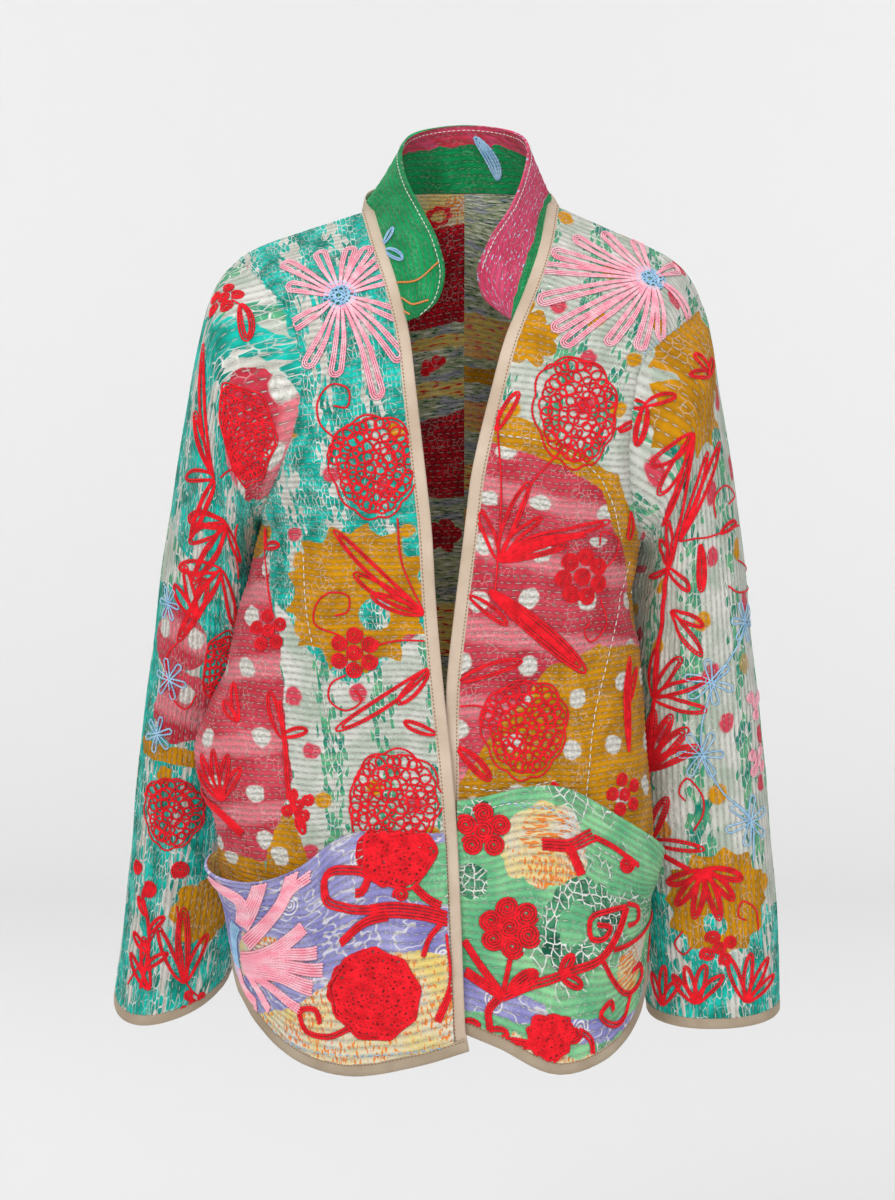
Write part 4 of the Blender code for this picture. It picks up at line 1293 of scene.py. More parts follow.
def moved(strokes, degrees=0.0, x=0.0, y=0.0):
    return [(turned(points, degrees, x, y), colour, radius) for points, colour, radius in strokes]


def petal(length, width, colour="red", radius=fullThread, rows=2, lean=0.0):
    # outlines one inside the other, narrow at the base and blunt at the tip, pointing up
    strokes = []
    for k in range(rows):
        half = max(width / 2 - k * 2.0 * radius, 0.0006)
        top = length - k * 2.0 * radius
        t = np.linspace(0, np.pi, 9)
        tip = np.stack([half * np.cos(t), top - half + half * np.sin(t)], axis=1)
        side = [[half * 0.3, 0], [half * 0.8, top * 0.5]]
        outline = np.vstack([side, tip, [[-x, y] for x, y in side[::-1]]])
        outline[:, 0] += lean * length * (outline[:, 1] / length) ** 2
        strokes.append((outline, colour, radius))
    return strokes


def leaf(length, width, colour="red", radius=fineThread, rows=2, lean=0.1):
    # pointed outlines one inside the other
    strokes = []
    for k in range(rows):
        half = max(width / 2 - k * 2.2 * radius, 0.0005)
        t = np.linspace(0, 2 * np.pi, 26)
        y = length * (1 - 0.06 * k) * (1 - np.cos(t)) / 2
        x = half * np.sin(t) * (0.62 + 0.38 * np.sin(t / 2)) + lean * length * (y / length) ** 2
        strokes.append((np.stack([x, y], axis=1), colour, radius))
    return strokes


def spiral(size, turns):
    t = np.linspace(0.08, 1, max(12, int(turns * 16)))
    angle = t * turns * 2 * np.pi
    return np.stack([t * size * np.cos(angle), t * size * np.sin(angle)], axis=1)


def disc(size, colour="red", radius=fullThread):
    return [(spiral(size, size / (radius * 1.9)), colour, radius)]


def cluster(middle, each, away, count, start, colour, radius):
    # a disc with others in a ring round it
    strokes = disc(middle, colour, radius)
    for k in range(count):
        angle = 2 * math.pi * k / count + start
        strokes += moved(disc(each, colour, radius), 0, away * math.cos(angle), away * math.sin(angle))
    return strokes


def blossom(size, petals=6, colour="red", radius=fullThread):
    return cluster(size * 0.36, size * 0.37, size * 0.62, petals, 0.3, colour, radius)


def berries(size, count=6, each=0.007, colour="red", radius=fineThread):
    return cluster(each, each, size, count - 1, 0.5, colour, radius)


def scribble(size, colour, radius, curl, tall, petals, depth, spread=1.75):
    # one thread that goes round and round in small loops until the shape is full
    pitch = curl * spread
    last = 2 * math.pi * size / pitch
    travel = np.linspace(0, pitch * last**2 / (4 * math.pi), int(last**2 * 3.2))
    angle = np.sqrt(travel * 4 * math.pi / pitch)
    edge = 1 - depth * np.abs(np.sin(petals / 2 * angle))
    away = pitch * angle / (2 * math.pi) * edge
    loops = travel / (curl * 1.45) * 2 * np.pi + np.sin(travel * 190)
    wide = curl * (1 + 0.25 * np.sin(travel * 310 + 1))
    x = away * np.cos(angle) + wide * np.cos(loops)
    y = away * tall * np.sin(angle) + wide * np.sin(loops)
    return [(np.stack([x, y], axis=1), colour, radius)]


def scalloped(size, tall, base, wave, lobes):
    t = np.linspace(0, 2 * np.pi, 90)
    edge = size * (base + wave * np.abs(np.sin(lobes * t)))
    return np.stack([edge * np.cos(t), edge * tall * np.sin(t)], axis=1)


def curlyFlower(size, colour="red", radius=fineThread, tall=1.15):
    # a round flower of loops inside a scalloped outline, a little wider at its top
    strokes = scribble(size * 0.99, colour, radius, 0.0043, tall, 5, 0.06)
    strokes.append((scalloped(size, tall, 0.99, 0.09, 4.5), colour, radius))
    for points, colour, radius in strokes:
        points[:, 0] *= 1 + 0.16 * points[:, 1] / (size * tall)
    return strokes


def filledFlower(size, petals=7, depth=0.12, colour="red", radius=fullThread, tall=1.0):
    strokes = scribble(size * 0.94, colour, radius, 0.003, tall, petals, depth, 1.5)
    strokes.append((scalloped(size, tall, 1, -depth, petals / 2), colour, radius))
    return strokes


def starFlower(size, petals, width=0.0118, rows=3, colour="pink", middle="sky", radius=fineThread):
    # long petals, each with its own turn and length, round a small middle
    strokes = []
    for turn, length in petals:
        away = math.radians(turn)
        x, y = -math.sin(away) * size * 0.7, math.cos(away) * size * 0.7
        reach = length * 1.08 - size * 0.7
        strokes += moved(petal(reach, width, colour, radius, rows, 0.05), turn, x, y)
    return strokes + scribble(size, middle, radius, 0.0028, 1.1, 5, 0.1)


def starlet(size, petals=6, colour="sky", radius=fineThread):
    # a small open flower of equal loops
    strokes = []
    for k in range(petals):
        strokes += moved(petal(size, size * 0.3, colour, radius, 1), 360 * k / petals + 12)
    return strokes


def fan(length, fingers=5, spread=80.0, width=0.01, rows=2, colour="red", radius=fineThread):
    # long narrow leaves that spread from one place
    strokes = []
    for k in range(fingers):
        share = k / (fingers - 1) - 0.5
        reach = length * (1 - 0.28 * abs(share) + 0.08 * math.sin(k * 3))
        strokes += moved(leaf(reach, width, colour, radius, rows), spread * share)
    return strokes


def sprig(length, leaves=5, bend=0.15, size=0.3, colour="red", radius=fineThread):
    # a stem with leaves along it
    t = np.linspace(0, 1, 24)
    stem = np.stack([bend * length * np.sin(t * np.pi * 0.8), length * t], axis=1)
    strokes = [(stem, colour, radius), (stem + [radius * 2, 0], colour, radius)]
    for k in range(leaves):
        share = 0.2 + 0.8 * k / max(1, leaves - 1)
        x = np.interp(share, t, stem[:, 0])
        y = np.interp(share, t, stem[:, 1])
        side = 1 if k % 2 else -1
        reach = length * size * (1.1 - 0.35 * share)
        strokes += moved(leaf(reach, reach * 0.36, colour, radius, 2), side * (62 - 34 * share), x, y)
    return strokes


def leaves(base, *each, **more):
    # leaves from one place: each one's length, its turn to the left, its width, and its rows if not 2
    return [
        (leaf, base, length, turn, {"width": width, "rows": rows[0] if rows else 2, **more})
        for length, turn, width, *rows in each
    ]


# Petals of the large flowers: the turn to the left in degrees and the length
leftStar = (
    (-3, 0.05), (26, 0.052), (54, 0.062), (78, 0.044), (128, 0.046), (163, 0.062), (-174, 0.064),
    (-149, 0.088), (-130, 0.072), (-106, 0.05), (-64, 0.046), (-38, 0.056), (-19, 0.052),
)
rightStar = (
    (95, 0.092), (112, 0.09), (122, 0.092), (141, 0.074), (160, 0.07), (77, 0.09), (66, 0.08),
    (48, 0.068), (22, 0.056), (-8, 0.046), (-60, 0.042), (-118, 0.044), (178, 0.052),
)
# Embroidery: the motif, its middle or base, its size in metres, its turn to the left in degrees, and
# what else differs from the motif's own values
embroidery = {
    "front_right": [
        (starFlower, (340, 297), 0.0125, 0, {"petals": leftStar}),
        (curlyFlower, (373, 468), 0.034, 0, {"tall": 1.2}),
        *leaves((424, 614), (0.104, 53, 0.011)),
        *leaves((422, 612), (0.066, 67, 0.014)),
        *leaves((424, 614), (0.046, 76, 0.013)),
        (berries, (354, 652), 0.0145, 0, {"count": 7}),
        *leaves((432, 668), (0.094, 131, 0.013), (0.04, 146, 0.012)),
        *leaves((436, 734), (0.028, 75, 0.009)),
        (curlyFlower, (397, 806), 0.035, -18, {"tall": 1.25}),
        (berries, (272, 632), 0.0125, 0, {"each": 0.0062}),
        *leaves((268, 548), (0.022, -75, 0.008)),
        *leaves((268, 550), (0.02, 30, 0.007)),
        *leaves((283, 738), (0.04, 24, 0.011)),
        *leaves((284, 736), (0.022, -68, 0.009)),
        (berries, (297, 806), 0.01, 0, {"count": 5, "each": 0.0055}),
        *leaves((303, 834), (0.018, 20, 0.009)),
        *leaves((240, 722), (0.034, 28, 0.01), (0.026, 60, 0.009)),
        (fan, (222, 800), 0.042, 12, {"spread": 84, "width": 0.009}),
    ],
    "front_left": [
        (starFlower, (650, 281), 0.0125, 0, {"petals": rightStar}),
        (curlyFlower, (575, 413), 0.033, 0, {"tall": 1.3}),
        *leaves((498, 430), (0.036, -22, 0.01), (0.03, 12, 0.008)),
        *leaves(
            (500, 562),
            (0.092, -12, 0.013), (0.11, -56, 0.013), (0.08, -62, 0.012, 3), (0.06, -70, 0.014, 3),
            (0.056, 20, 0.012), (0.064, -30, 0.01),
        ),
        *leaves((487, 590), (0.112, -128, 0.017, 4), radius=fullThread),
        *leaves((466, 596), (0.04, -123, 0.01)),
        (berries, (582, 578), 0.017, 0, {"count": 8, "each": 0.0078}),
        *leaves((458, 682), (0.054, -65, 0.012)),
        *leaves((456, 748), (0.038, -129, 0.013, 3)),
        (curlyFlower, (528, 731), 0.034),
        *leaves((553, 782), (0.034, -142, 0.008)),
        *leaves((627, 752), (0.08, 2, 0.009, 3)),
        *leaves((630, 700), (0.03, -20, 0.008)),
        (berries, (626, 794), 0.013, 0, {"each": 0.0062}),
        *leaves((618, 432), (0.018, -60, 0.007)),
        *leaves((628, 540), (0.03, 14, 0.009)),
    ],
    "pocket_right": [
        (filledFlower, (372, 995), 0.04, 10, {"petals": 9, "depth": 0.07}),
        (filledFlower, (394, 850), 0.032, 0, {"petals": 5}),
        (disc, (395, 894), 0.0066),
    ],
    "pocket_left": [
        (blossom, (485, 830), 0.024, 0, {"petals": 5}),
        (blossom, (514, 926), 0.027, 20),
        (filledFlower, (548, 1040), 0.021, 0, {"petals": 9, "depth": 0.16}),
        (disc, (576, 1035), 0.008),
        (disc, (630, 865), 0.0085),
        *leaves((508, 992), (0.028, -50, 0.015, 3), radius=fullThread),
        *leaves((562, 974), (0.02, -25, 0.01), radius=fullThread),
        *leaves((562, 976), (0.021, -118, 0.011), radius=fullThread),
        *leaves((482, 1034), (0.022, -82, 0.011), radius=fullThread),
        *leaves((462, 1022), (0.016, -100, 0.01), radius=fullThread),
        *leaves((546, 1044), (0.034, 96, 0.008), radius=fullThread),
        *leaves((648, 962), (0.026, 8, 0.009), radius=fullThread),
    ],
    "sleeve_right": [
        (berries, (224, 299), 0.012, 0, {"each": 0.006}),
        *leaves((240, 306), (0.034, -146, 0.013, 3)),
        (filledFlower, (243, 440), 0.027, 6, {"tall": 1.7, "radius": fineThread}),
        *leaves(
            (214, 478),
            (0.11, 8, 0.015, 3), (0.07, 24, 0.013, 3), (0.065, 132, 0.014, 3), (0.05, 69, 0.012),
        ),
        *leaves(
            (226, 522),
            (0.05, 96, 0.016, 3), (0.08, 140, 0.015, 3), (0.056, 116, 0.014), (0.044, -160, 0.012),
        ),
        *leaves((222, 566), (0.05, 96, 0.014), (0.082, 142, 0.015, 3), (0.06, -170, 0.012)),
        (fan, (196, 620), 0.046, 20, {"fingers": 3, "spread": 60, "width": 0.012}),
        (filledFlower, (224, 668), 0.019, 0, {"petals": 5, "tall": 1.9, "radius": fineThread}),
        (starlet, (170, 681), 0.018),
        (starlet, (158, 733), 0.016, 30),
        (starlet, (168, 606), 0.015, 10),
        (curlyFlower, (170, 812), 0.026),
        (disc, (141, 864), 0.007, 0, {"radius": fineThread}),
        (disc, (151, 887), 0.0075, 0, {"radius": fineThread}),
        (disc, (180, 870), 0.008, 0, {"radius": fineThread}),
        *leaves((184, 981), (0.066, 5, 0.013, 3), (0.052, 32, 0.012), (0.048, -22, 0.011)),
        *leaves((150, 990), (0.046, 14, 0.011), (0.036, 44, 0.01)),
        (berries, (192, 1004), 0.01, 0, {"count": 5, "each": 0.005}),
        (sprig, (140, 985), 0.08, 4),
        (curlyFlower, (0.8, 0.5), 0.03),
        (fan, (0.72, 0.3), 0.06, 170),
        (sprig, (0.66, 0.62), 0.09, 180, {"leaves": 6}),
        (fan, (0.78, 0.8), 0.056),
    ],
    "sleeve_left": [
        (fan, (706, 376), 0.024, 20, {"fingers": 3, "spread": 110, "width": 0.009}),
        *leaves((645, 405), (0.026, -66, 0.01), (0.02, 88, 0.01), (0.034, 170, 0.013, 3)),
        *leaves((690, 434), (0.036, 124, 0.014), (0.056, 150, 0.015), (0.092, 171, 0.014, 3)),
        *leaves((679, 541), (0.07, -20, 0.011), (0.086, -30, 0.01)),
        *leaves(
            (670, 568),
            (0.056, 30, 0.011), (0.066, 14, 0.011), (0.034, 102, 0.009), (0.036, -132, 0.01),
        ),
        *leaves((700, 545), (0.046, -160, 0.011, 3)),
        *leaves((720, 535), (0.026, -60, 0.008)),
        *leaves((672, 612), (0.05, -140, 0.01), (0.034, -112, 0.01)),
        (fan, (654, 700), 0.052, -50, {"fingers": 4, "spread": 96, "width": 0.012}),
        (fan, (650, 770), 0.056, -22, {"spread": 70, "width": 0.013, "rows": 3}),
        *leaves((652, 838), (0.044, -18, 0.013, 3), (0.042, -90, 0.01)),
        (fan, (703, 872), 0.046, 190, {"fingers": 6, "spread": 150, "width": 0.013, "rows": 3}),
        (berries, (720, 950), 0.011, 0, {"count": 5, "each": 0.0062}),
        (fan, (697, 1004), 0.036, 10, {"fingers": 4, "spread": 80}),
        (fan, (745, 1000), 0.046, -14, {"fingers": 4, "spread": 80}),
        (fan, (664, 1004), 0.036, 0, {"fingers": 3, "spread": 60}),
        (starlet, (711, 681), 0.02),
        (starlet, (701, 753), 0.022, 20),
        (starlet, (749, 822), 0.022, 40),
        (starlet, (742, 620), 0.018, 10),
        (berries, (752, 700), 0.01, 0, {"count": 4, "each": 0.0055, "colour": "pink"}),
        (berries, (756, 762), 0.01, 30, {"count": 5, "each": 0.0055, "colour": "pink"}),
        (curlyFlower, (0.8, 0.46), 0.03),
        (fan, (0.7, 0.26), 0.06, 190),
        (sprig, (0.72, 0.62), 0.09, 180, {"leaves": 6}),
        (fan, (0.78, 0.82), 0.056),
    ],
    "back_right": [
        (curlyFlower, (0.42, 0.7), 0.038),
        (starFlower, (0.52, 0.88), 0.0125, 40, {"petals": rightStar}),
        (filledFlower, (0.45, 0.22), 0.036),
        (sprig, (0.7, 0.42), 0.11, 20, {"leaves": 6}),
        (berries, (0.24, 0.52), 0.015, 0, {"count": 7}),
        (fan, (0.3, 0.36), 0.08, 20, {"width": 0.013}),
        (fan, (0.3, 0.05), 0.06, 10),
        (curlyFlower, (0.8, 0.62), 0.026),
        (sprig, (0.78, 0.1), 0.1, 0, {"leaves": 6}),
    ],
    "back_left": [
        (curlyFlower, (0.5, 0.56), 0.038),
        (starFlower, (0.6, 0.86), 0.0125, -30, {"petals": leftStar}),
        (blossom, (0.35, 0.3), 0.032),
        (sprig, (0.72, 0.24), 0.11, 10, {"leaves": 6}),
        (fan, (0.3, 0.1), 0.06, -20),
        (berries, (0.76, 0.66), 0.015, 0, {"count": 7}),
        (fan, (0.26, 0.66), 0.08, -10, {"width": 0.013}),
        (fan, (0.74, 0.44), 0.05, 150, {"fingers": 4}),
        (filledFlower, (0.66, 0.08), 0.03),
    ],
    "collar": [
        *leaves((385, 251), (0.025, -103, 0.0095), colour="sky", lean=0.0),
        *leaves((383, 245), (0.019, -27, 0.008), colour="sky", lean=0.0),
    ],
}

# Stems and tendrils: the spots each passes through, the rows of thread side by side, and the
# colour where it isn't red
stems = {
    "front_right": [
        ([(343, 446), (321, 421), (318, 400), (332, 386), (349, 391), (346, 406), (334, 405)], 1),
        ([(398, 518), (399, 560), (424, 614)], 1),
        ([(340, 636), (317, 622), (314, 606), (331, 592), (350, 597), (348, 611), (334, 616)], 1),
        ([(372, 648), (400, 640), (430, 640)], 1),
        ([(346, 674), (333, 684), (332, 700), (347, 710), (360, 699), (352, 688)], 1),
        ([(266, 545), (270, 575), (274, 612)], 1),
        ([(280, 700), (286, 745), (291, 790), (302, 830)], 2),
        ([(206, 790), (222, 814), (244, 834)], 4),
    ],
    "front_left": [
        ([(498, 428), (500, 470), (502, 530), (497, 590)], 1),
        ([(598, 598), (603, 626), (590, 642), (581, 632), (591, 622)], 1),
        ([(598, 572), (614, 556), (614, 536), (602, 532), (597, 545)], 1),
        ([(560, 452), (535, 478), (505, 540)], 1),
        ([(455, 706), (478, 705), (496, 714)], 1),
        ([(612, 430), (625, 424)], 1),
    ],
    "pocket_right": [
        ([(238, 922), (232, 900), (222, 866)], 6, "pink"),
        ([(241, 922), (246, 900), (252, 870)], 7, "pink"),
        ([(243, 940), (262, 920), (277, 898), (282, 872)], 6, "pink"),
        ([(272, 906), (286, 888), (302, 880)], 4, "pink"),
        ([(244, 956), (270, 950), (288, 938), (304, 926)], 6, "pink"),
        ([(244, 958), (280, 953), (316, 953)], 5, "pink"),
        ([(244, 960), (280, 964), (318, 970)], 5, "pink"),
        ([(244, 962), (276, 974), (308, 987)], 6, "pink"),
        ([(244, 962), (268, 984), (298, 1008)], 4, "pink"),
        ([(242, 962), (256, 984), (272, 1010)], 5, "pink"),
        ([(240, 962), (247, 984), (257, 1004)], 5, "pink"),
        ([(233, 920), (237, 946), (240, 976)], 5, "sky"),
        ([(456, 921), (425, 914), (395, 910), (366, 913)], 5),
        ([(380, 911), (345, 911), (322, 900), (321, 883), (340, 874), (358, 880), (358, 893),
         (345, 896)], 3),
        ([(388, 915), (357, 925), (338, 946)], 3),
        ([(411, 885), (425, 898), (443, 906)], 3),
        ([(443, 922), (430, 938), (420, 957)], 2),
        ([(452, 932), (450, 985), (434, 1022)], 3),
        ([(352, 1028), (323, 1036), (301, 1026), (300, 1011), (315, 1010), (316, 1023)], 2),
    ],
    "pocket_left": [
        ([(548, 844), (575, 847), (602, 838)], 4),
        ([(572, 847), (581, 860), (587, 876)], 4),
        ([(600, 840), (620, 850), (640, 866)], 2),
        ([(462, 940), (480, 962), (501, 994)], 3),
        ([(462, 970), (480, 980), (503, 996)], 4),
        ([(514, 952), (510, 975), (506, 996)], 2),
        ([(502, 994), (492, 1012), (488, 1032)], 3),
        ([(506, 996), (535, 984), (562, 976), (601, 958), (617, 935), (626, 905)], 3),
        ([(626, 905), (606, 911), (590, 922), (592, 938), (604, 939), (607, 928), (600, 925)], 2),
        ([(624, 903), (634, 906), (635, 920), (628, 926)], 2),
        ([(610, 950), (630, 942), (642, 932), (644, 912)], 2),
        ([(601, 958), (613, 978), (630, 991), (641, 975), (637, 964), (629, 971)], 2),
        ([(630, 990), (626, 1014), (610, 1025), (601, 1013), (608, 1003), (614, 1010)], 2),
        ([(578, 1030), (590, 1042), (592, 1058)], 2),
    ],
    "sleeve_right": [
        ([(232, 300), (243, 306), (250, 318)], 1),
        ([(236, 524), (233, 548), (238, 576)], 1),
        ([(222, 478), (236, 470), (246, 486)], 1),
        ([(128, 985), (142, 960), (156, 930)], 1),
        ([(176, 905), (180, 950), (186, 985), (200, 1000)], 1),
        ([(182, 640), (168, 655), (172, 700), (186, 708), (196, 696)], 1),
    ],
    "sleeve_left": [
        ([(679, 541), (705, 535), (738, 526)], 1),
        ([(716, 520), (714, 500), (724, 488), (732, 496), (728, 506)], 1),
        ([(736, 560), (740, 580), (734, 592), (726, 584)], 1),
        ([(690, 434), (682, 500), (672, 560), (664, 620), (656, 690)], 2),
        ([(693, 834), (703, 812), (701, 790), (688, 780), (680, 790), (686, 798)], 1),
        ([(742, 600), (738, 640), (712, 690), (702, 750), (722, 790), (750, 822), (752, 860)], 1, "sky"),
        ([(758, 930), (754, 905), (742, 902), (738, 914), (746, 920)], 1),
        ([(684, 930), (676, 944), (684, 952), (692, 944)], 1),
        ([(656, 700), (650, 770), (652, 840), (690, 870)], 2),
    ],
    "collar": [
        ([(392, 284), (417, 276), (441, 261)], 1, "orange"),
        ([(398, 298), (414, 301), (431, 299)], 1, "orange"),
        ([(404, 311), (412, 314)], 1, "orange"),
    ],
    "back_right": [
        ([(0.3, 0.36), (0.42, 0.5), (0.42, 0.66)], 3),
        ([(0.45, 0.26), (0.6, 0.36), (0.7, 0.42)], 2),
    ],
    "back_left": [
        ([(0.5, 0.52), (0.4, 0.42), (0.35, 0.3)], 3),
        ([(0.5, 0.6), (0.66, 0.7), (0.62, 0.8)], 2),
    ],
}

# Long rows of plain sewing: the spots that each passes through, and the thread
seams = {
    "front_right": [
        ([(306, 550), (309, 620), (320, 690), (338, 820)], "white"),
        ([(246, 262), (266, 287), (284, 316), (297, 352), (301, 369)], "white"),
    ],
    "front_left": [
        ([(627, 560), (612, 630), (595, 715), (583, 810)], "white"),
        ([(605, 842), (650, 841)], "white"),
        ([(500, 436), (545, 444), (600, 476), (622, 540)], "white"),
        ([(462, 786), (500, 790), (560, 780)], "white"),
        ([(700, 317), (680, 326), (655, 341), (640, 356)], "sky"),
    ],
    "pocket_right": [
        ([(249, 985), (276, 1034), (302, 1047), (340, 1055), (380, 1055), (449, 1046)], "sky"),
        ([(340, 870), (375, 850), (440, 846)], "white"),
    ],
    "pocket_left": [
        ([(508, 800), (538, 806), (568, 812)], "sky"),
        ([(464, 814), (500, 806), (538, 802), (590, 842), (640, 868)], "white"),
    ],
}


def layOn(panel, points, lift=0.0):
    # flat points laid on a piece: the runs that lie inside it, each as points and normals
    spots, normals, inside = surfaceAt(panel, points)
    spots = spots + normals * lift
    runs = []
    start = None
    for k, held in enumerate(np.append(inside, False)):
        if held and start is None:
            start = k
        if not held and start is not None:
            if k - start > 3:
                runs.append((spots[start:k], normals[start:k]))
            start = None
    return runs


def resample(points, step):
    run = lengthsAlong(points)
    count = max(3, int(run[-1] / step))
    at = np.linspace(0, run[-1], count + 1)
    return np.stack([np.interp(at, run, points[:, k]) for k in range(points.shape[1])], axis=1)


def stitchObject(name, runs, radius, colour, plain=False):
    # chain stitch: cords that swell and narrow once per link. Plain sewing keeps one thickness.
    sides = thread["sides"]
    angle = np.arange(sides) * 2 * np.pi / sides + np.pi / 2
    vertices, faces = [], []
    base = 0
    for number, (points, normals) in enumerate(runs):
        count = len(points)
        across = unit(np.cross(unit(np.gradient(points, axis=0)), normals))
        links = np.arange(count) * 2 * np.pi / (thread["steps"] * thread["drift"])
        links = links + number * thread["offset"]
        swell = np.ones(count) if plain else 1 + thread["swell"] * np.cos(links)
        swell[0] = swell[-1] = thread["end"]
        size = (radius * swell)[:, None, None]
        middle = points + normals * (cloth["wall"] / 2 + radius * thread["lift"])
        ring = (
            middle[:, None]
            + across[:, None] * (np.cos(angle)[None, :, None] * size * thread["wide"])
            + normals[:, None] * (np.sin(angle)[None, :, None] * size * thread["thick"])
        )
        vertices.append(ring.reshape(-1, 3))
        faces.append(quadsOf(count, sides, base, True))
        base += count * sides
    vertices = np.vstack(vertices)
    made = meshObject(name, vertices, np.vstack(faces).tolist(), [threads[colour]])
    # its map is flat from the front, for the thread's own grain
    flat = np.stack([vertices[:, 0] + vertices[:, 1], vertices[:, 2]], axis=-1)
    addMap(made.data, flat[cornersOf(made.data)])
    return made


def throughSpots(panel, spots, step):
    places = np.array([placeOf(panel, spot) for spot in spots])
    run = lengthsAlong(places)
    return resample(smoothLine(run, places, np.linspace(0, run[-1], 60)), step)


def embroider(panel):
    # all the chain stitch of one piece, joined by colour
    step = thread["pitch"] / thread["steps"]
    lift = cloth["ripple"] * thread["ride"]
    cords = {}
    for motif, spot, size, *rest in embroidery.get(panel["name"], ()):
        turn, more = rest + [0, {}][len(rest) :]
        place = placeOf(panel, spot)
        steps = frameAt(panel, place)
        for points, colour, radius in motif(size, **more):
            flat = resample(turned(points, turn), step) @ steps.T + place
            cords.setdefault((colour, radius), []).extend(layOn(panel, flat, lift))
    for spots, rows, *other in stems.get(panel["name"], ()):
        colour = other[0] if other else "red"
        radius = fineThread if rows == 1 else fullThread
        line = throughSpots(panel, spots, step)
        along = unit(np.gradient(line, axis=0))
        beside = np.stack([-along[:, 1], along[:, 0]], axis=1)
        for k in range(rows):
            shifted = line + beside * (k - (rows - 1) / 2) * radius * thread["spacing"]
            cords.setdefault((colour, radius), []).extend(layOn(panel, shifted, lift))
    weights = {fineThread: "fine", fullThread: "full"}
    return [
        stitchObject("_".join((panel["name"], colour, weights[radius])), runs, radius, colour)
        for (colour, radius), runs in cords.items()
        if runs
    ]


def dashes(panel, line, dash, every, lift):
    # running stitch: short raised dashes, each of a number of steps, that start at every so many
    runs = []
    for start in range(0, len(line) - 4, every):
        runs += layOn(panel, line[start : start + dash], lift)
    return runs


def sewSeams(panel):
    byColour = {}
    for spots, colour in seams.get(panel["name"], ()):
        line = throughSpots(panel, spots, sewing["step"])
        runs = dashes(panel, line, sewing["dash"], sewing["every"], cloth["ripple"] * thread["ride"])
        byColour.setdefault(colour, []).extend(runs)
    return [
        stitchObject(panel["name"] + "_sewing_" + colour, runs, sewing["radius"], colour, plain=True)
        for colour, runs in byColour.items()
    ]


def pocketPanel(name, front, mouth):
    # the front's own cloth below the mouth, moved out, and gaping at the mouth
    stations = np.array(list(mouth.values()))
    share = np.linspace(0, 1, frontColumns + 1)
    height = smoothLine(stations[:, 0], stations[:, 1], share)
    gape = smoothLine(stations[:, 0], stations[:, 2], share)
    opening = np.linspace(0, 1, pocketRows + 1) ** 3
    rows = np.arange(bodyRows)
    columns = []
    for c in range(frontColumns + 1):
        line = front["grid"][:bodyRows, c]
        top = np.interp(height[c], line[:, 2], rows)
        at = np.linspace(0, top, pocketRows + 1)
        points = np.stack([np.interp(at, rows, line[:, k]) for k in range(3)], axis=1)
        normals = front["normals"][:bodyRows, c]
        out = unit(np.stack([np.interp(at, rows, normals[:, k]) for k in range(3)], axis=1))
        lift = cloth["wall"] + binding["pocketGap"] + gape[c] * opening
        columns.append(points + out * lift[:, None])
    return makePanel(name, np.array(columns).transpose(1, 0, 2))


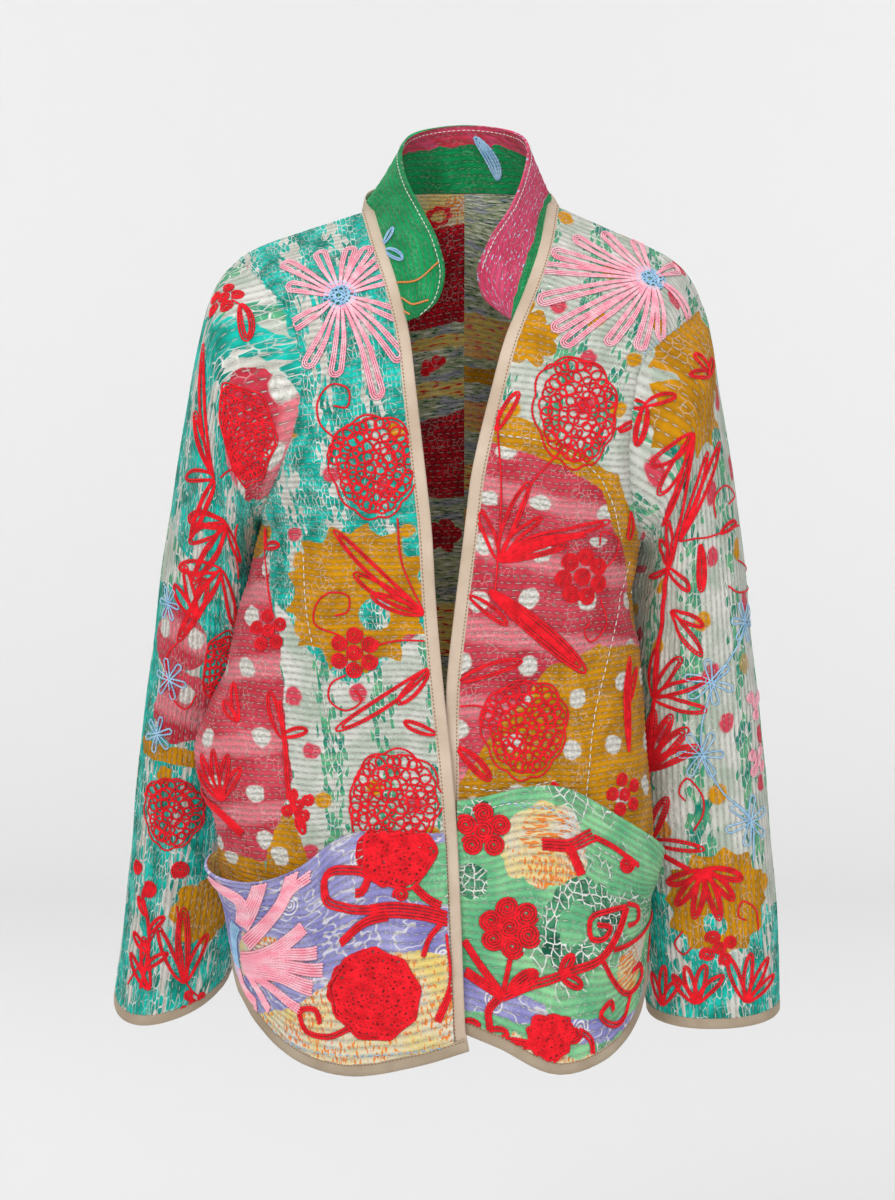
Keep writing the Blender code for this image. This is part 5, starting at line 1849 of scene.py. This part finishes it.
# Patches of each piece: the print of its ground, then from the bottom layer up each patch's print,
# its kind and its spots and measures, as patchMask takes them
patches = {
    "front_right": [
        "tealSpots",
        ("fleckSpots", "area", (300, 640), (352, 690), (356, 900), (290, 900)),
        ("fleckSpots", "area", (350, 688), (430, 626), (480, 622), (480, 900), (350, 900)),
        ("fleckSpots", "area", (275, 600), (306, 640), (320, 900), (285, 900)),
        ("teal", "area", (238, 236), (330, 214), (384, 206), (398, 330), (396, 400), (330, 452),
         (262, 420)),
        ("mustard", "flower", (354, 596), 0.053, 13, -0.24),
        ("tealSpots", "disc", (376, 615), 0.0135),
        ("brick", "area", (258, 555), (270, 548), (280, 640), (290, 780), (272, 860), (150, 860),
         (150, 560)),
        ("mustardDots", "area", (292, 802), (316, 880), (262, 880), (274, 840)),
        ("mustardDots", "area", (200, 842), (264, 861), (264, 890), (200, 880)),
        ("mustard", "area", (250, 520), (272, 526), (268, 552), (245, 560)),
    ],
    "front_left": [
        "fleckSpots",
        ("mustard", "flower", (530, 340), 0.025, 7, 0.3),
        ("mustard", "flower", (516, 312), 0.018, 5, 0.3),
        ("mustard", "area", (440, 412), (520, 420), (560, 442), (615, 478), (610, 500), (440, 446)),
        ("brick", "area", (440, 434), (500, 446), (560, 464), (606, 492), (640, 640), (620, 800),
         (440, 800)),
        ("mustard", "area", (596, 470), (616, 474), (648, 590), (645, 630), (632, 630)),
        ("mustardDots", "area", (452, 792), (490, 738), (550, 664), (600, 646), (1.3, 0.41),
         (1.3, -0.1), (455, 900)),
    ],
    "pocket_right": [
        "lavender",
        ("mint", "area", (475, 830), (430, 846), (388, 878), (400, 896), (475, 906)),
        ("pale", "area", (470, 960), (418, 948), (336, 968), (300, 1000), (215, 985), (215, 1100),
         (470, 1100)),
        ("pale", "area", (242, 932), (276, 936), (284, 950), (262, 975), (240, 975)),
        ("red", "flower", (372, 995), 0.039, 9, 0.07),
        ("red", "flower", (394, 850), 0.03, 5, 0.12),
    ],
    "pocket_left": [
        "mint",
        ("bottle", "disc", (474, 880), 0.014),
        ("bottle", "disc", (476, 812), 0.012),
        ("pale", "flower", (543, 842), 0.037, 9, 0.1),
        ("sun", "disc", (545, 832), 0.021),
        ("bottle", "flower", (584, 923), 0.041, 15, 0.1),
        ("mint", "flower", (581, 924), 0.02, 9, 0.14),
        ("sun", "disc", (632, 968), 0.021),
        ("pale", "disc", (638, 945), 0.014),
        ("lavender", "area", (450, 962), (500, 984), (545, 1008), (545, 1030), (450, 1004)),
        ("lavender", "area", (540, 1007), (600, 1018), (640, 1006), (640, 1030), (560, 1038),
         (540, 1030)),
        ("pale", "area", (510, 1030), (620, 1040), (600, 1080), (500, 1080)),
        ("sky", "area", (598, 1056), (626, 1030), (648, 978), (680, 985), (650, 1070), (600, 1085)),
        ("red", "flower", (548, 1040), 0.02, 9, 0.16),
    ],
    "sleeve_right": [
        "teal",
        ("fleck", "area", (205, 330), (290, 340), (292, 372), (200, 345)),
        ("brick", "flower", (258, 408), 0.036, 5, 0.1),
        ("brick", "flower", (250, 462), 0.042, 5, 0.1),
        ("fleck", "area", (150, 500), (262, 540), (262, 600), (140, 585)),
        ("brick", "area", (152, 592), (262, 590), (262, 738), (205, 752), (146, 738)),
        ("brick", "flower", (176, 640), 0.032, 5, 0.1),
        ("brick", "flower", (182, 704), 0.034, 5, 0.1),
        ("mustard", "area", (146, 734), (215, 752), (215, 768), (146, 752)),
        ("mustard", "flower", (202, 910), 0.03, 7, 0.2),
        ("mustard", "flower", (165, 775), 0.008, 5, 0.2),
    ],
    "sleeve_left": [
        "fleckSpots",
        ("mustard", "flower", (694, 345), 0.036, 11, -0.28),
        ("mustard", "flower", (698, 410), 0.03, 9, -0.3),
        ("teal", "area", (640, 880), (800, 900), (800, 1060), (630, 1060)),
        ("mustard", "flower", (722, 902), 0.042, 12, -0.16),
        ("teal", "disc", (716, 925), 0.01),
    ],
    "back_right": [
        "tealSpots",
        ("mustard", "flower", (0.5, 0.66), 0.07, 13, 0.2),
        ("brick", "band", 0.3, 0.36, 0.5, 0.52),
        ("lavender", "band", -0.1, -0.1, 0.22, 0.18),
        ("mustardDots", "area", (0.76, 0.34), (1.2, 0.34), (1.2, 0.62), (0.82, 0.6)),
    ],
    "back_left": [
        "fleckSpots",
        ("brick", "band", 0.52, 0.5, 0.66, 0.7),
        ("mustardDots", "band", 0.24, 0.3, 0.46, 0.44),
        ("mint", "area", (-0.1, -0.1), (0.7, -0.1), (0.6, 0.18), (-0.1, 0.16)),
        ("pale", "flower", (0.6, 0.12), 0.055, 7, 0.15),
    ],
    "collar": [
        "green",
        ("pink", "area", (0.56, 0.0), (1.1, 0.0), (1.1, 1.1), (0.56, 1.1)),
        ("green", "area", (0.5, -0.2), (1.1, -0.2), (1.1, 0.2), (0.5, 0.2)),
    ],
}
# The same for the reverse, where it isn't plain
reverses = {
    "collar": ["green", ("band", "area", (-0.1, 0.7), (1.1, 0.7), (1.1, 1.2), (-0.1, 1.2))],
    "back_right": [
        "moss",
        ("pale", "band", 0.93, 0.93, 1.1, 1.1),
        ("red", "flower", (0.1, 0.957), 0.014, 7, 0.2),
        ("pale", "flower", (0.1, 0.957), 0.008, 5, 0.2),
        ("crimson", "area", (-0.1, 0.815), (0.4, 0.81), (0.4, 0.935), (-0.1, 0.935)),
        ("olive", "band", 0.785, 0.785, 0.8, 0.8),
        ("red", "flower", (0.14, 0.764), 0.008, 3, 0.3),
        ("red", "flower", (0.1, 0.769), 0.007, 3, 0.3),
        ("olive", "band", 0.725, 0.73, 0.75, 0.745),
        ("crimson", "area", (-0.1, 0.593), (0.15, 0.6), (0.36, 0.63), (0.36, 0.68), (0.12, 0.7),
         (-0.1, 0.715)),
        ("crimson", "flower", (0.08, 0.545), 0.016, 5, 0.3),
        ("olive", "band", 0.4, 0.4, 0.46, 0.46),
        ("crimson", "flower", (0.3, 0.3), 0.04, 5, 0.2),
        ("rust", "band", 0.1, 0.12, 0.2, 0.2),
    ],
    "back_left": [
        "moss",
        ("rust", "band", 0.773, 0.775, 0.825, 0.824),
        ("mustard", "area", (-0.1, 0.744), (0.4, 0.744), (0.4, 0.762), (-0.1, 0.762)),
        ("rust", "band", 0.685, 0.685, 0.722, 0.722),
        ("olive", "band", 0.6, 0.6, 0.64, 0.64),
        ("rust", "band", 0.52, 0.52, 0.57, 0.57),
        ("mustard", "area", (-0.1, 0.44), (0.3, 0.44), (0.3, 0.5), (-0.1, 0.5)),
        ("rust", "band", 0.3, 0.3, 0.38, 0.38),
    ],
}


def buildSide(name, tables, seed):
    # the surfaces of one side, from its own tables
    frontTable, frontHem, backTable, backHem, rings, mouth = tables
    cut, edge = frontGrids(frontTable, frontHem)
    back = backGrid(backTable, backHem, cut[-1])
    back[: bodyRows + 1, -1] = cut[: bodyRows + 1, -1]
    armhole = np.vstack([cut[bodyRows:, -1], back[bodyRows + 1 : -1, -1][::-1]])
    side = {
        "front": makePanel("front_" + name, cut),
        "back": makePanel("back_" + name, back),
        "sleeve": makePanel("sleeve_" + name, sleeveGrid(rings, armhole), closed=True),
        "edge": edge,
        "hem": cut[:2].copy(),
    }
    side["frontNormals"] = side["front"]["normals"].copy()
    for index, key in enumerate(("front", "back", "sleeve")):
        creasePanel(side[key], seed + index)
    side["pocket"] = pocketPanel("pocket_" + name, side["front"], mouth)
    creasePanel(side["pocket"], seed + 5)
    return side


def dressCloth(panel, ripple, innerStep, lengthwise=False, strength=1.0):
    # the cloth itself with its prints, in place of the CAD node
    name = panel["name"]
    outside = clothMaterial(name + "_print", panel, patches[name], lengthwise, strength)
    reverse = reverses.get(name, ["olive"])
    inside = clothMaterial(name + "_reverse", panel, reverse, lengthwise, strength)
    made = clothObject(panel, ripple, outside, inside, innerStep)
    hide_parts(name)
    slots[name.split("_")[0]]
    return made


def dressPanel(panel, lengthwise=False):
    step = (1, 4) if lengthwise else (4, 1)
    made = dressCloth(panel, rippleOf(panel, lengthwise), step, lengthwise)
    embroider(panel) + sewSeams(panel)


def sideBindings(name, side, beige, taupe):
    # the strips of one front edge and hem, and of the cuff
    width, thickness = binding["width"], binding["thickness"]
    hem, above = side["hem"]
    normals = side["frontNormals"]
    outward = awayFrom(hem, above, normals[0])
    edge = side["edge"]
    rows = np.unique(np.append(np.arange(0, len(edge), binding["everyRow"]), len(edge) - 1))
    corner = edge[0] + outward[0] * width
    line = np.vstack([corner[None], edge[rows[1:]]])
    across = unit(edge - side["front"]["grid"][:, 0])[rows]
    front = bindingObject(
        "binding_front_" + name, line, normals[rows, 0], across, width, thickness, beige
    )
    # the hem's strip holds the front and the pocket
    hemLine = hem + outward * (width + cloth["seamGap"])
    hemLine[0] = corner + unit(hem[1] - hem[0]) * binding["cornerGap"]
    layered = (cloth["wall"] + binding["pocketGap"]) / 2
    hemStrip = bindingObject(
        "binding_hem_" + name, hemLine + normals[0] * layered, normals[0], outward, width,
        thickness + 2 * layered, taupe, narrow=("end",),
    )
    sleeve = side["sleeve"]
    down = unit(sleeve["grid"][-1] - sleeve["grid"][-3])
    ring = slice(0, None, binding["everyCuff"])
    cuffLine = (sleeve["grid"][-1] + down * binding["cuffWidth"])[ring]
    cuff = bindingObject(
        "binding_cuff_" + name, cuffLine, sleeve["normals"][-1][ring], down[ring], binding["cuffWidth"],
        thickness, taupe, closed=True,
    )
    return [front, hemStrip, cuff]


def acrossBack(right, left, key, row, count):
    return np.vstack([right["back"][key][row, count::-1], left["back"][key][row, 1 : count + 1]])


def backBindings(right, left, beige, taupe):
    width, thickness = binding["width"], binding["thickness"]
    hem = acrossBack(right, left, "grid", 0, backColumns)
    above = acrossBack(right, left, "grid", 4, backColumns)
    normals = acrossBack(right, left, "normals", 2, backColumns)
    outward = awayFrom(hem, above, normals)
    strip = bindingObject(
        "binding_hem_back", hem + outward * width, normals, outward, width, thickness, taupe,
        narrow=("start", "end"),
    )
    neck = acrossBack(right, left, "grid", -1, neckColumns)
    below = acrossBack(right, left, "grid", -5, neckColumns)
    normals = acrossBack(right, left, "normals", -3, neckColumns)
    outward = awayFrom(neck, below, normals)
    line = neck + outward * width
    line[0] = right["edge"][-1]
    line[-1] = left["edge"][-1]
    neckStrip = bindingObject(
        "binding_neck", line + normals * 0.002, normals, outward, width, thickness * 0.5, beige
    )
    # behind that strip the stand itself goes down to the back's cut edge
    place = np.linspace(-1, 1, len(line))
    ease = np.clip((1 - np.abs(place)) / 0.25, 0, 1)[:, None]
    return [strip, neckStrip], line - outward * width * ease * 0.9


def buildCollar(right, left, neck):
    edges = []
    for side in (right, left):
        start = int(np.argmin(np.abs(side["edge"][:, 2] - collarLook["startZ"])))
        edges.append(side["edge"][start::2])
    base = resample(np.vstack([edges[0], neck[1:-1], edges[1][::-1]]), collarLook["step"])
    free = evenly(through(collarEdge), len(base) - 1)
    share = np.linspace(0, 1, collarRows + 1)[:, None, None]
    # a slight roll: the middle of the stand stays a little fuller than its edges
    grid = base * (1 - share) + free * share
    panel = makePanel("collar", grid)
    panel["grid"] = grid + panel["normals"] * collarLook["roll"] * np.sin(np.pi * share)
    panel["normals"] = normalsOf(panel["grid"])
    panel["facing"] = 0.9
    return panel


def dressCollar(panel):
    ripple = rippleOf(panel, False) * collarLook["ripple"]
    made = dressCloth(panel, ripple, (2, 1), strength=collarLook["strength"])
    stitched = embroider(panel)
    # the reverse at the nape has a filled loop, and both faces a row of white stitches by the edge
    inside = dict(panel, normals=-panel["normals"], name="collarInside")
    width, height = panel["width"].mean(), panel["v"][-1]
    place = np.array(collarLook["loopPlace"]) * (width, height) - (0, collarLook["loopBase"])
    runs = []
    for stroke in leaf(collarLook["loopLength"], collarLook["loopWidth"], "sky", fullThread, 3):
        loop = resample(turned(stroke[0], collarLook["loopTurn"]), thread["pitch"] / thread["steps"])
        runs += layOn(inside, loop + place)
    stitched.append(stitchObject("collar_loop", runs, fullThread, "sky"))
    along = np.linspace(0.004, width * 0.98, 400)
    line = np.stack([along, np.full(len(along), height - collarSewing["inside"])], axis=1)
    line = resample(line, collarSewing["step"])
    runs = []
    for surface in (panel, inside):
        runs += dashes(surface, line, collarSewing["dash"], collarSewing["every"], collarSewing["lift"])
    stitched.append(stitchObject("collar_sewing", runs, collarSewing["radius"], "white", plain=True))


# The sweep behind and below, in metres, and the lights: place, size and power
studioLook = {
    "size": 6.0,
    "behind": 4.4,
    "below": -1.25,
    "bend": 0.8,
    "segments": 11,
    "roughness": 0.95,
    "ambient": 0.34,
}
lamps = {
    "key": ((-1.3, -2.6, 1.3), 1.2, 44),
    "front": ((0.1, -3.0, 0.1), 0.8, 17),
    "fill": ((1.9, -2.3, 0.4), 1.8, 17),
    "top": ((0.0, -0.4, 2.1), 1.6, 14),
    "back light": ((-0.9, 0.9, 1.9), 1.0, 10),
    "wall left": ((-2.6, 1.6, 0.9), 1.6, 44),
    "wall right": ((2.6, 1.6, 0.9), 1.6, 44),
}


def selectEdges(mesh, chosen):
    # selects the edges whose two ends both pass, and nothing else
    for kind in (mesh.vertices, mesh.edges, mesh.polygons):
        for part in kind:
            part.select = False
    for edge in mesh.edges:
        edge.select = all(chosen(mesh.vertices[k].co) for k in edge.vertices)
        if edge.select:
            for k in edge.vertices:
                mesh.vertices[k].select = True


def studioSweep():
    # a floor whose back edge is drawn up into a wall, with the corner between them rounded
    size, behind, below = studioLook["size"], studioLook["behind"], studioLook["below"]
    bpy.ops.object.select_all(action="DESELECT")
    bpy.ops.mesh.primitive_plane_add(size=2 * size, location=(0, 0, below))
    made = bpy.context.object
    made.name = "studio_sweep"
    bpy.ops.object.transform_apply(location=True, rotation=True, scale=True)
    selectEdges(made.data, lambda place: place.y > 0)
    bpy.ops.object.mode_set(mode="EDIT")
    bpy.ops.mesh.select_mode(type="EDGE")
    bpy.ops.transform.translate(value=(0, behind - size, 0))
    bpy.ops.mesh.extrude_edges_move(TRANSFORM_OT_translate={"value": (0, 0, size - below)})
    bpy.ops.object.mode_set(mode="OBJECT")
    selectEdges(made.data, lambda place: place.y > 0 and place.z < 0)
    bpy.ops.object.mode_set(mode="EDIT")
    bpy.ops.mesh.bevel(offset=studioLook["bend"], segments=studioLook["segments"])
    bpy.ops.object.mode_set(mode="OBJECT")
    bpy.ops.object.shade_smooth()
    paper = bpy.data.materials.new("backdrop")
    paper.use_nodes = True
    shader = paper.node_tree.nodes["Principled BSDF"]
    shader.inputs["Base Color"].default_value = (*dyes["backdrop"], 1)
    shader.inputs["Roughness"].default_value = studioLook["roughness"]
    made.data.materials.append(paper)


def studio():
    # soft light, the key from above the camera's left. Two lamps light the wall alone.
    studioSweep()
    for name, (place, size, power) in lamps.items():
        lamp = bpy.data.lights.new(name, "AREA")
        lamp.energy = power
        lamp.size = size
        made = bpy.data.objects.new(name, lamp)
        made.visible_camera = False
        made.location = place
        aim = (0.0, studioLook["behind"], -0.3) if "wall" in name else (0.0, 0.0, -0.35)
        made.rotation_euler = (Vector(aim) - Vector(place)).to_track_quat("-Z", "Y").to_euler()
        bpy.context.collection.objects.link(made)
    world = bpy.context.scene.world or bpy.data.worlds.new("studio")
    bpy.context.scene.world = world
    world.use_nodes = True
    ambient = world.node_tree.nodes["Background"]
    ambient.inputs["Color"].default_value = (1.0, 1.0, 1.0, 1)
    ambient.inputs["Strength"].default_value = studioLook["ambient"]


def colours():
    settings = bpy.context.scene.view_settings
    settings.view_transform = "Standard"
    settings.look = "None"


def camera():
    made = bpy.data.objects.new("camera", bpy.data.cameras.new("camera"))
    bpy.context.collection.objects.link(made)
    reach = photo["distance"]
    target = np.array(photo["target"])
    level, up = math.cos(photo["elevation"]), math.sin(photo["elevation"])
    made.location = target + reach * np.array([0.0, -level, up])
    made.rotation_euler = (math.pi / 2 - photo["elevation"], 0.0, 0.0)
    made.data.sensor_fit = "VERTICAL"
    made.data.sensor_height = 36.0
    made.data.lens = 36.0 * reach / (photo["height"] * photo["metresPerPixel"])
    bpy.context.scene.camera = made


sideTables = {
    "right": (
        frontRightRows, hemFrontRight, backRightRows, hemBackRight, sleeveRightRings, pocketMouthRight
    ),
    "left": (frontLeftRows, hemFrontLeft, backLeftRows, hemBackLeft, sleeveLeftRings, pocketMouthLeft),
}
seeds = {"right": 1.0, "left": 11.0}


def dressJacket():
    sides = {name: buildSide(name, tables, seeds[name]) for name, tables in sideTables.items()}
    print("surfaces worked out")
    beige = bindingMaterial("beige_binding", "beige", "beigeDark")
    taupe = bindingMaterial("taupe_binding", "taupe", "taupeDark")
    for side in sides.values():
        for key in ("front", "back", "sleeve", "pocket"):
            dressPanel(side[key], lengthwise=key == "sleeve")
    print("cloth and embroidery made")
    strips = []
    for name, side in sides.items():
        strips += sideBindings(name, side, beige, taupe)
    backStrips, neck = backBindings(*sides.values(), beige, taupe)
    dressCollar(buildCollar(*sides.values(), neck))
    print("bindings and collar made")


dressJacket()
studio()
colours()
camera()
